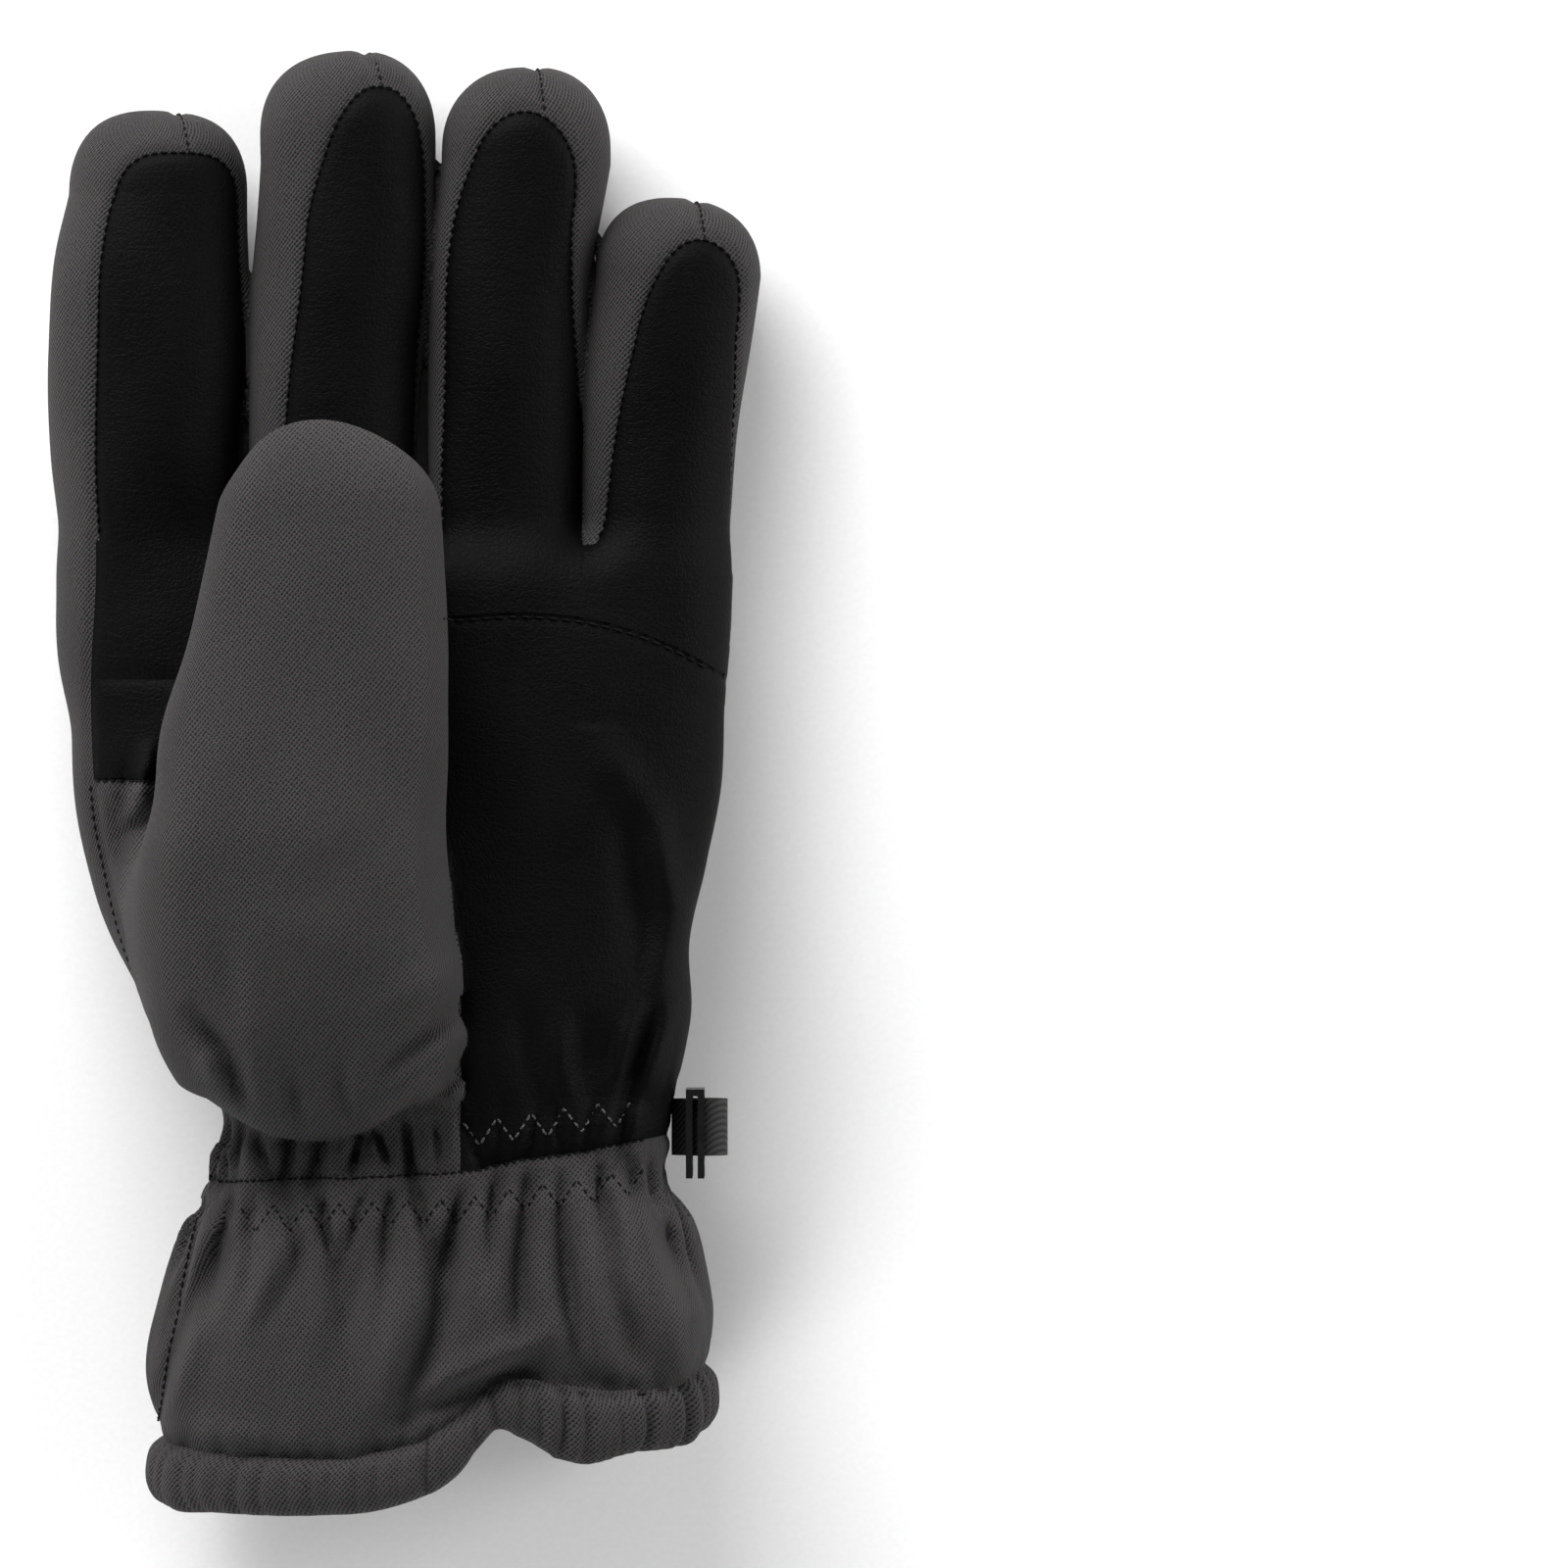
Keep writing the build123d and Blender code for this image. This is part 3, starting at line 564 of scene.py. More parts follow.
middle = points[tris].mean(1)
st = station(middle)
thumb_face = (on_thumb(middle) < 0) & (st > THUMB_START)
leather_face = leather(middle) < 0
finger_of = nearest_finger(middle)
cuts = np.array([finger["cut"] for finger in FINGERS.values()])
past_cut = (st > cuts[finger_of]) & ~thumb_face

panel = np.full(len(tris), "back_panel", dtype=object)
panel[leather_face] = "palm_panel"
panel[leather_face & (st > patch_seam(middle[:, 0]))] = "patch_panel"
panel[leather_face & (middle[:, 0] < INDEX_PANEL_EDGE)] = "index_front_panel"
panel[leather_face & (middle[:, 0] < INDEX_PANEL_EDGE) & (st < INDEX_CROSS_SEAM)] = "index_lower_panel"
for k, name in enumerate(FINGERS):
    mine = past_cut & (finger_of == k)
    panel[mine] = f"{name}_side_panel"
    panel[mine & leather_face] = f"{name}_front"
panel[thumb_face] = "thumb_panel"
panel[thumb_face & (thumb_under(middle) < 0) & (st > THUMB_LEATHER_START)] = "thumb_inner_panel"
panel[st < wrist_seam(middle[:, 0])] = "cuff_panel"
panel[st < hem_top(middle[:, 0])] = "cut_off"

# the sewn groups that each have their own shading, so that a seam shows as a crease
SEWN = {"palm_panel": 1, "patch_panel": 2, "middle_front": 2, "ring_front": 2, "little_front": 2,
        "index_front_panel": 3, "index_front": 3, "index_lower_panel": 4, "thumb_panel": 5,
        "thumb_inner_panel": 6, "cuff_panel": 7, "cut_off": 7}


def outer_seam(s):
    """The x of the seam between the web of the thumb and the back of the hand."""
    return along(s, (98, 109, 117, 125, 133, 141), (-48.6, -53.2, -55.8, -57.6, -59.2, -60.0))


def cuff_side_seam(s):
    return along(s, (14, 20, 34, 50, 58), (-48.4, -46.9, -44.2, -41.2, -39.6))


def dart_x(p, name):
    """The x of the seam over a fingertip, from its leather's arch to the very tip."""
    low, high = FINGERS[name]["dart"]
    top, tip = FINGERS[name]["leather"][3], FINGERS[name]["tip"]
    return low + (high - low) * np.clip((station(p) - top) / (tip - top), 0, 1)


def pulled_in(p):
    """How far the stitches pull each point in, in millimetres."""
    x, s = p[:, 0], station(p)
    palm_side = step(p[:, 2], 14, 20)
    depth = 0.75 * bell(leather(p), 1.1) * (s > THUMB_START)
    depth = np.maximum(depth, 0.7 * bell(s - wrist_seam(x), 1.2))
    # the patch's folded edge stands proud, and the palm's leather dips beside it
    past = s - patch_seam(x)
    on_patch = (leather(p) < 1) & (x > INDEX_PANEL_EDGE)
    ridge = np.where(past >= -0.01, -0.75 * bell(past, 2.2), 0.5 * bell(past, 1.5))
    depth = np.where(on_patch & (np.abs(past) < 6), ridge, depth)
    on_index = (leather(p) < 0) & (x < INDEX_PANEL_EDGE)
    depth = np.where(on_index, np.maximum(depth, 0.6 * bell(s - INDEX_CROSS_SEAM, 1.2)), depth)
    beside = (s > 97) & (s < 141)
    depth = np.maximum(depth, 0.9 * bell(x - outer_seam(s), 1.3) * beside * palm_side)
    depth = np.maximum(depth, 0.8 * bell(x - cuff_side_seam(s), 1.3) * (s < 60) * palm_side)
    for name, finger in FINGERS.items():
        over = (s > finger["leather"][3]) & (np.abs(x - finger["x"][-1]) < 18)
        depth = np.maximum(depth, 0.8 * bell(x - dart_x(p, name), 1.2) * over)
    return depth * ((on_thumb(p) > -0.5) | (s < THUMB_START))


def face_normals(verts, faces):
    """Each face's normal, as long as twice its area."""
    a, b, c = (verts[faces[:, k]] for k in range(3))
    return np.cross(b - a, c - a)


def point_normals(verts, faces):
    """The mean normal at each point, of the faces round it."""
    total, normal = np.zeros_like(verts), face_normals(verts, faces)
    for k in range(3):
        np.add.at(total, faces[:, k], normal)
    return total / (np.linalg.norm(total, axis=1, keepdims=True) + 1e-12)


points = points - point_normals(points, tris) * pulled_in(points)[:, None]
points[:, 2] = np.maximum(points[:, 2], FLOOR_GAP)

# ---- The fabric and leather panels ---------------------------------------------------------------
# Dark grey woven polyester makes the back, the fingers' sides, the thumb and the cuff; black
# synthetic leather makes the palm and the fingers' fronts. All are sewn edge to edge, over wadding.


def srgb(text):
    """A colour written as in a paint chart, turned to linear light."""
    value = np.array([int(text[i:i + 2], 16) for i in (0, 2, 4)]) / 255
    linear = np.where(value <= 0.04045, value / 12.92, ((value + 0.055) / 1.055) ** 2.4)
    return (*linear.tolist(), 1.0)


def add(tree, kind, values=(), links=(), **settings):
    """Adds one node with its settings, its input values and its links from other nodes."""
    node = tree.nodes.new(kind)
    for key, value in settings.items():
        setattr(node, key, value)
    for key, value in dict(values).items():
        node.inputs[key].default_value = value
    for key, source in dict(links).items():
        tree.links.new(source, node.inputs[key])
    return node


def new_material(name, slot_name):
    made = bpy.data.materials.new(name)
    made.use_nodes = True
    made.node_tree.nodes.clear()
    made["slot"] = slot_name
    return made, made.node_tree


def ramp_between(tree, source, low, high, dark, light):
    """A colour that runs from dark, where the source is low, to light, where it is high."""
    node = add(tree, "ShaderNodeValToRGB", (), {"Fac": source})
    ends = node.color_ramp.elements
    ends[0].position, ends[1].position = low, high
    ends[0].color, ends[1].color = srgb(dark), srgb(light)
    return node.outputs[0]


def stripes(period):
    """The wave texture's scale for stripes that repeat each period, in its coordinate's unit."""
    return math.pi / (10 * period)


def woven_polyester():
    """Dark grey polyester twill: a fine diagonal rib crossed by single yarns, each dyed a little
    differently. The rib is 0.5 mm on the real cloth and drawn at 0.7 mm, because a finer one doesn't
    show."""
    made, tree = new_material("woven_polyester_twill", "shell_fabric")
    cloth = add(tree, "ShaderNodeAttribute", attribute_name="cloth").outputs["Vector"]
    turned = add(tree, "ShaderNodeMapping", {"Rotation": (0, 0, math.radians(38))}, {"Vector": cloth})
    rib = add(tree, "ShaderNodeTexWave", {"Scale": stripes(0.68), "Distortion": 1.6, "Detail": 3,
                                          "Detail Scale": 3.0}, {"Vector": turned.outputs[0]})
    yarn = add(tree, "ShaderNodeTexWave", {"Scale": stripes(0.76), "Distortion": 2.4, "Detail": 3,
                                           "Detail Scale": 2.0}, {"Vector": turned.outputs[0]},
               bands_direction="Y")
    drawn = add(tree, "ShaderNodeMapping", {"Scale": (1.0, 3.0, 1)}, {"Vector": turned.outputs[0]})
    slub = add(tree, "ShaderNodeTexNoise", {"Scale": 1.0, "Detail": 4, "Roughness": 0.7},
               {"Vector": drawn.outputs[0]})
    cloud = add(tree, "ShaderNodeTexNoise", {"Scale": 0.03, "Detail": 3}, {"Vector": cloth})
    tone = add(tree, "ShaderNodeMath", {1: 0.5}, {0: rib.outputs["Fac"]}, operation="MULTIPLY")
    tone = add(tree, "ShaderNodeMath", {1: 0.32}, {0: yarn.outputs["Fac"], 2: tone.outputs[0]},
               operation="MULTIPLY_ADD")
    tone = add(tree, "ShaderNodeMath", {1: 0.85}, {0: slub.outputs["Fac"], 2: tone.outputs[0]},
               operation="MULTIPLY_ADD")
    tone = add(tree, "ShaderNodeMath", {1: 0.25}, {0: cloud.outputs["Fac"], 2: tone.outputs[0]},
               operation="MULTIPLY_ADD")
    colour = ramp_between(tree, tone.outputs[0], 0.66, 1.26, "050505", "393737")
    height = add(tree, "ShaderNodeMath", {1: 0.6}, {0: slub.outputs["Fac"], 2: rib.outputs["Fac"]},
                 operation="MULTIPLY_ADD")
    bump = add(tree, "ShaderNodeBump", {"Strength": 0.7, "Distance": 0.00020},
               {"Height": height.outputs[0]})
    shader = add(tree, "ShaderNodeBsdfPrincipled",
                 {"Roughness": 0.85, "Specular IOR Level": 0.22, "Sheen Weight": 0.10,
                  "Sheen Roughness": 0.5, "Sheen Tint": srgb("8c8886")},
                 {"Base Color": colour, "Normal": bump.outputs[0]})
    add(tree, "ShaderNodeOutputMaterial", (), {"Surface": shader.outputs[0]})
    return made


def synthetic_leather():
    """Near-black polyurethane leather: a fine pebbled grain with short creases across the hand, satin, and
    a little glossier or duller in broad patches."""
    made, tree = new_material("black_synthetic_leather", "palm_leather")
    cloth = add(tree, "ShaderNodeAttribute", attribute_name="cloth").outputs["Vector"]
    pebble = add(tree, "ShaderNodeTexVoronoi", {"Scale": 0.95}, {"Vector": cloth},
                 feature="DISTANCE_TO_EDGE")
    fine = add(tree, "ShaderNodeTexNoise", {"Scale": 1.6, "Detail": 5, "Roughness": 0.6},
               {"Vector": cloth})
    across = add(tree, "ShaderNodeMapping", {"Scale": (0.16, 0.75, 1)}, {"Vector": cloth})
    crease = add(tree, "ShaderNodeTexNoise", {"Scale": 1.0, "Detail": 3, "Distortion": 1.2},
                 {"Vector": across.outputs[0]})
    worn = add(tree, "ShaderNodeTexNoise", {"Scale": 0.05, "Detail": 3}, {"Vector": cloth})
    edge = add(tree, "ShaderNodeMapRange", {"From Max": 0.2}, {"Value": pebble.outputs["Distance"]})
    height = add(tree, "ShaderNodeMath", {1: 0.5}, {0: fine.outputs["Fac"], 2: edge.outputs[0]},
                 operation="MULTIPLY_ADD")
    height = add(tree, "ShaderNodeMath", {1: 2.2}, {0: crease.outputs["Fac"], 2: height.outputs[0]},
                 operation="MULTIPLY_ADD")
    bump = add(tree, "ShaderNodeBump", {"Strength": 0.6, "Distance": 0.00010},
               {"Height": height.outputs[0]})
    colour = ramp_between(tree, worn.outputs["Fac"], 0.3, 0.7, "040404", "080808")
    gloss = add(tree, "ShaderNodeMapRange", {"To Min": 0.5, "To Max": 0.66},
                {"Value": worn.outputs["Fac"]})
    shader = add(tree, "ShaderNodeBsdfPrincipled", {"Specular IOR Level": 0.05, "IOR": 1.5},
                 {"Base Color": colour, "Roughness": gloss.outputs[0], "Normal": bump.outputs[0]})
    add(tree, "ShaderNodeOutputMaterial", (), {"Surface": shader.outputs[0]})
    return made


SIDE_SHARE = 0.66         # the part of a tube's half depth that counts as its side


def unrolled(p, shape):
    """How far round a tube each point lies, in millimetres: x across its upper face, and from there
    on also down its sides; the lower face is counted back from the far side."""
    s = station(p)
    x, w = along(s, shape["st"], shape["x"]), along(s, shape["st"], shape["w"])
    z, d = along(s, shape["st"], shape["z"]), along(s, shape["st"], shape["d"])
    out, up = p[:, 0] - x, p[:, 2] - z
    down = np.maximum(SIDE_SHARE * d - np.abs(up), 0) * step(np.abs(out) / w, 0.7, 0.92)
    half = np.abs(out) + down
    half = np.where(up < 0, 2 * (w + SIDE_SHARE * d) - half, half)
    return x + np.sign(out) * half


def cloth_place(p, kind):
    """Where each point lies on its flat cloth, in millimetres: across it, unrolled round the tube
    that it belongs to, and along it."""
    s = station(p)
    across = unrolled(p, THUMB if kind.startswith("thumb") else TRUNK)
    if not kind.startswith(("thumb", "cuff")):
        near = nearest_finger(p)
        for k, finger in enumerate(FINGERS.values()):
            radius = (np.mean(finger["w"]) + np.mean(finger["d"])) / 2
            turned = np.radians(round_angle(p, finger)) * radius + finger["x"][1]
            share = step(s, 174, 192) * (near == k)
            across = across + (turned - across) * share
    return np.stack([across, p[:, 1], np.zeros(len(p))], 1)


def make_piece(name, verts, faces, finish, normals=None, cloth=None):
    """A mesh object of millimetre points, in metres, with its cloth places and its normals."""
    mesh = bpy.data.meshes.new(name)
    mesh.from_pydata((np.asarray(verts) * MM).tolist(), [], np.asarray(faces).tolist())
    mesh.polygons.foreach_set("use_smooth", np.ones(len(mesh.polygons), bool))
    if cloth is not None:
        data = mesh.attributes.new("cloth", "FLOAT_VECTOR", "POINT")
        data.data.foreach_set("vector", np.asarray(cloth, np.float32).ravel())
    mesh.materials.append(finish)
    if normals is not None:
        mesh.normals_split_custom_set_from_vertices(np.asarray(normals).tolist())
    mesh.update()
    made = bpy.data.objects.new(name, mesh)
    bpy.context.collection.objects.link(made)
    return made


cloth_finish, leather_finish = woven_polyester(), synthetic_leather()
sewn_group = np.array([SEWN.get(name, 0) for name in panel])
group_normals = {int(g): point_normals(points, tris[sewn_group == g]) for g in np.unique(sewn_group)}
panels = {}
for name in sorted(set(panel.tolist()) - {"cut_off"}):
    used, fresh = np.unique(tris[panel == name], return_inverse=True)
    is_leather = "front" in name or name in ("palm_panel", "patch_panel", "index_lower_panel",
                                             "thumb_inner_panel")
    panels[name] = make_piece(name, points[used], fresh.reshape(-1, 3),
                              leather_finish if is_leather else cloth_finish,
                              group_normals[SEWN.get(name, 0)][used], cloth_place(points[used], name))


def bend_with(piece, body):
    """Bakes a piece's placement into its points; it doesn't follow a finger, the thumb or the cuff,
    whichever body is named.
    """
    if body in FINGERS:
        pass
    elif body == "thumb":
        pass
    else:
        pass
    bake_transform(piece)


for name in ("back_panel", "palm_panel", "patch_panel", "index_front_panel", "index_lower_panel"):
    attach(panels[name], "hand")
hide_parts("hand_back_shell", "hand_insulation", "hand_membrane")
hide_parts("palm_leather")
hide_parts("palm_patch")
for name in FINGERS:
    side, front = panels[f"{name}_side_panel"], panels[f"{name}_front"]
    bend_with(side, name)
    bend_with(front, name)
    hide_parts(f"{name}_shell", f"{name}_insulation", f"{name}_membrane", f"{name}_lining")
    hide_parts(f"{name}_leather")
bend_with(panels["thumb_panel"], "thumb")
bend_with(panels["thumb_inner_panel"], "thumb")
bend_with(panels["cuff_panel"], "cuff")
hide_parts("thumb_shell", "thumb_web", "thumb_insulation", "thumb_membrane",
            "thumb_lining")
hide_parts("thumb_leather")
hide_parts("cuff_shell", "cuff_insulation")

# ---- The hem -------------------------------------------------------------------------------------
# A doubled band of the shell fabric, folded over a flat elastic and sewn round the cuff's mouth. The
# elastic draws it into ribs, close together on the little finger's side.

HEM_WALL = 5.0            # thickness of the band, with its elastic
MOUTH = 16.0              # the station whose section the band and the lining follow
RIBS = valleys(0, 330, 4.4, 1.1, 1.0)
# the band's profile from its seam, over its outside and lower edge, and up inside: the share of the
# way, the height over the lower edge, with the band's height as 1, and the depth inside the skin
PROFILE_AT = (0, 0.07, 0.15, 0.3, 0.46, 0.54, 0.6, 0.66, 0.74, 1)
PROFILE_HEIGHT = (1.07, 0.98, 0.86, 0.55, 0.2, 0.05, 0, 0.05, 0.2, 1.2)
PROFILE_DEPTH = (2.8, 1.0, -0.5, -1.3, -0.6, 0.8, 2.3, 3.9, 4.8, HEM_WALL)


def trunk_outline(count):
    """Angles round the cuff's rounded section that stand evenly along it, how far round each is from
    the middle of the palm side, and the whole way round."""
    angle = np.linspace(0, 2 * np.pi, 4001)
    x, z = outline_point(angle, np.full_like(angle, MOUTH), np.zeros_like(angle))
    run = np.concatenate([[0], np.cumsum(np.hypot(np.diff(x), np.diff(z)))])
    even = np.linspace(0, run[-1], count, endpoint=False)
    return np.interp(even, run, angle), even, run[-1]


def outline_point(angle, s, depth):
    """The point of the trunk's section at an angle from straight up, inside the skin by a depth:
    x = middle + (w - depth) sgn(sin) |sin|^(2/n), and z the same with d and cos."""
    w, d = along(s, TRUNK["st"], TRUNK["w"]) - depth, along(s, TRUNK["st"], TRUNK["d"]) - depth
    share = 2 / TRUNK_POWER
    x = along(s, TRUNK["st"], TRUNK["x"]) + w * np.sign(np.sin(angle)) * np.abs(np.sin(angle)) ** share
    z = along(s, TRUNK["st"], TRUNK["z"]) + d * np.sign(np.cos(angle)) * np.abs(np.cos(angle)) ** share
    return x, z


def grid_faces(rows, columns, closed):
    """The quads of a grid whose columns run round, row by row."""
    i, j = np.meshgrid(np.arange(rows - 1), np.arange(columns if closed else columns - 1), indexing="ij")
    a, b = i * columns + j, i * columns + (j + 1) % columns
    return np.stack([a, b, b + columns, a + columns], -1).reshape(-1, 4)


def hem_band():
    """The profile carried round the mouth, with a rib's hollow wherever the elastic draws it in."""
    angle, even, length = trunk_outline(420)
    t = np.linspace(0, 1, 44)[:, None]
    base_x, _ = outline_point(angle, np.full_like(angle, MOUTH), 0)
    height = (hem_top(base_x) - hem_edge(base_x)) * along(t, PROFILE_AT, PROFILE_HEIGHT)
    s = hem_edge(base_x) + height
    depth = along(t, PROFILE_AT, PROFILE_DEPTH) + 0 * s
    strength = np.where(np.cos(angle) > 0, 0.75 + 0.6 * step(base_x, 5, 30), 0.8)
    strength = strength * step(t, 0.0, 0.1) * (1 - step(t, 0.62, 0.8))
    for place, width, deep, lean, _ in RIBS:
        off = (even - place - 6 * lean * (t - 0.3) + length / 2) % length - length / 2
        depth = depth + 1.15 * deep * strength * np.exp(-(np.abs(off) / (0.75 * width)) ** 1.3)
    x, z = outline_point(angle + 0 * s, s, depth)
    verts = np.stack([x, s - HALF_LENGTH, np.maximum(z, FLOOR_GAP)], -1).reshape(-1, 3)
    cloth = np.stack([even + 0 * s, s, 0 * s], -1).reshape(-1, 3)
    return make_piece("hem_band", verts, grid_faces(len(t), len(angle), True)[:, ::-1], cloth_finish,
                      cloth=cloth)


hem = hem_band()
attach(hem, "cuff")
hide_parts("hem_casing", "hem_elastic")

# ---- The fleece lining ---------------------------------------------------------------------------
# Brushed near-black fleece, seen through the mouth: a sleeve from the hem to the wrist, and a sock
# beyond it that closes inside the hand. The wrist's elastic is sewn behind it.


def brushed_fleece():
    """Knitted polyester with a brushed face: near black, soft, with a pale bloom at grazing angles.
    Its tufts are about 0.4 mm and drawn at 1.2 mm, because finer ones don't show."""
    made, tree = new_material("brushed_polyester_fleece", "fleece")
    cloth = add(tree, "ShaderNodeAttribute", attribute_name="cloth").outputs["Vector"]
    tuft = add(tree, "ShaderNodeTexNoise", {"Scale": 0.85, "Detail": 6, "Roughness": 0.75},
               {"Vector": cloth})
    colour = ramp_between(tree, tuft.outputs["Fac"], 0.3, 0.75, "151515", "343332")
    bump = add(tree, "ShaderNodeBump", {"Strength": 0.7, "Distance": 0.0004},
               {"Height": tuft.outputs["Fac"]})
    shader = add(tree, "ShaderNodeBsdfPrincipled",
                 {"Roughness": 0.95, "Specular IOR Level": 0.1, "Sheen Weight": 0.35,
                  "Sheen Roughness": 0.6, "Sheen Tint": srgb("6a6866")},
                 {"Base Color": colour, "Normal": bump.outputs[0]})
    add(tree, "ShaderNodeOutputMaterial", (), {"Surface": shader.outputs[0]})
    return made


fleece_finish = brushed_fleece()
HAND_DEPTH = 11.0         # the lining's place inside the skin, at the wrist and beyond
MOUTH_DEPTH = HEM_WALL - 0.7    # and at the mouth, where it starts inside the band


def lining(name, start, end, rows, closing=0.0):
    """The trunk's section carried from start to end, a depth inside the skin and loosely rippled; over
    the last stretch, of length closing, it shrinks to a point as a quarter ellipse. With no start, it
    starts at the hem's seam."""
    angle, even, _ = trunk_outline(220)
    t = np.linspace(0, 1, rows)[:, None]
    base_x, _ = outline_point(angle, np.full_like(angle, MOUTH), 0)
    first = hem_edge(base_x) + (hem_top(base_x) - hem_edge(base_x)) if start is None else start
    s = first + (end - first) * t + 0 * base_x
    at_hem = 1 - step(t, 0.05, 0.6) if start is None else 0 * t
    depth = HAND_DEPTH - (HAND_DEPTH - MOUTH_DEPTH) * at_hem
    depth = depth + 0.5 * np.sin(even / 3.1 + 0.8 * np.sin(s / 7)) * (1 - at_hem)
    x, z = outline_point(angle + 0 * s, s, depth)
    if closing:
        shrink = np.sqrt(np.clip(1 - (np.maximum(s - end + closing, 0) / closing) ** 2, 0, 1))
        middle_x, middle_z = along(s, TRUNK["st"], TRUNK["x"]), along(s, TRUNK["st"], TRUNK["z"])
        x, z = middle_x + (x - middle_x) * shrink, middle_z + (z - middle_z) * shrink
    verts = np.stack([x, s - HALF_LENGTH, z], -1).reshape(-1, 3)
    cloth = np.stack([even + 0 * s, s, 0 * s], -1).reshape(-1, 3)
    return make_piece(name, verts, grid_faces(rows, len(angle), True), fleece_finish, cloth=cloth)


cuff_fleece = lining("cuff_fleece", None, 61.0, 40)
bend_with(cuff_fleece, "cuff")
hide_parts("cuff_lining", "wrist_elastic")
hand_fleece = lining("hand_fleece", 60.5, 150.0, 50, closing=40.0)
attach(hand_fleece, "hand")
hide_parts("hand_lining")

# ---- The seam threads ----------------------------------------------------------------------------
# Twisted polyester thread in short lockstitches, sunk into each seam: black along the leather, the
# wrist and the fingertips, and grey in the zigzag that holds the elastic to the leather.


def twisted_thread(name, dark, light):
    """Two-ply polyester thread: a dull twist whose plies show as fine slanted stripes, 0.5 mm apart."""
    made, tree = new_material(name, "thread")
    place = add(tree, "ShaderNodeTexCoord").outputs["Object"]
    turned = add(tree, "ShaderNodeMapping", {"Rotation": (0.3, 0.2, math.radians(50))}, {"Vector": place})
    ply = add(tree, "ShaderNodeTexWave", {"Scale": stripes(0.5 * MM), "Distortion": 1.5},
              {"Vector": turned.outputs[0]})
    colour = ramp_between(tree, ply.outputs["Fac"], 0.2, 0.8, dark, light)
    bump = add(tree, "ShaderNodeBump", {"Strength": 0.5, "Distance": 0.0001},
               {"Height": ply.outputs["Fac"]})
    shader = add(tree, "ShaderNodeBsdfPrincipled", {"Roughness": 0.7, "Specular IOR Level": 0.12},
                 {"Base Color": colour, "Normal": bump.outputs[0]})
    add(tree, "ShaderNodeOutputMaterial", (), {"Surface": shader.outputs[0]})
    return made


black_thread = twisted_thread("black_polyester_thread", "030303", "0e0d0d")
grey_thread = twisted_thread("grey_polyester_thread", "323231", "5b5a59")


MISS = 0.2                # a ray that ends further than this from the skin has missed it


def on_skin(start, toward, finger=None):
    """Where rays from start, in the directions toward, meet the skin, and the skin's normals there.
    Each ray goes on by most of the field's value, again and again; for a finger, it finds that
    finger's own tube first, so that its neighbours don't stop it."""
    p = np.asarray(start, float).copy()
    toward = toward / np.linalg.norm(toward, axis=1, keepdims=True)
    if finger:
        for _ in range(20):
            p = p + toward * finger_field(p, finger)[:, None]
    for _ in range(24 if finger else 50):
        p = p + toward * np.clip(0.75 * skin_field(p), -1.5, 12.0)[:, None]
    hit = np.abs(skin_field(p)) < MISS
    g = gradient(skin_field, p[hit], skin_field(p[hit]))
    return p[hit], g / np.linalg.norm(g, axis=1, keepdims=True)


STITCH_SIDES = 6
STITCH_RINGS = 5


def stitches(path, normals, pitch, length, radius, sink):
    """Stitches laid along a path on the skin: each is a short tube along the path that dips at both
    ends, its radius r sqrt(1 - t^4) and its height h (1 - t^2) with t from -1 to 1 along it."""
    run = np.concatenate([[0], np.cumsum(np.linalg.norm(np.diff(path, axis=0), axis=1))])
    at = np.arange(pitch / 2, run[-1] - length / 2, pitch)
    t = np.linspace(-0.97, 0.97, STITCH_RINGS)
    where = at[:, None] + t * length / 2
    centre = np.stack([np.interp(where, run, path[:, k]) for k in range(3)], -1)
    up = np.stack([np.interp(where, run, normals[:, k]) for k in range(3)], -1)
    ahead = np.stack([np.interp(where + 0.2, run, path[:, k]) - np.interp(where - 0.2, run, path[:, k])
                      for k in range(3)], -1)
    side = np.cross(ahead, up)
    side /= np.linalg.norm(side, axis=-1, keepdims=True) + 1e-9
    centre = centre + up * (radius * (1 - 1.6 * t[:, None] ** 2) - sink)
    turn = np.linspace(0, 2 * np.pi, STITCH_SIDES, endpoint=False)
    thick = radius * np.sqrt(1 - t**4)[:, None, None]
    ring = side[:, :, None] * np.cos(turn)[:, None] + up[:, :, None] * np.sin(turn)[:, None]
    verts = (centre[:, :, None] + thick * ring).reshape(-1, 3)
    one = grid_faces(STITCH_RINGS, STITCH_SIDES, True)
    per = STITCH_RINGS * STITCH_SIDES
    faces = (one + (np.arange(len(at)) * per)[:, None, None]).reshape(-1, 4)
    return verts, faces


def thread_piece(name, runs, finish, pitch=1.9, length=1.5, radius=0.22, sink=0.6):
    """One piece of all the stitches along the runs, each a (path, normals) pair."""
    verts, faces, total = [], [], 0
    for path, normals in runs:
        v, f = stitches(path, normals, pitch, length, radius, sink)
        verts.append(v)
        faces.append(f + total)
        total += len(v)
    return make_piece(name, np.concatenate(verts), np.concatenate(faces), finish)


RAY_START = 26.0          # rays to a finger's skin start this far from its middle


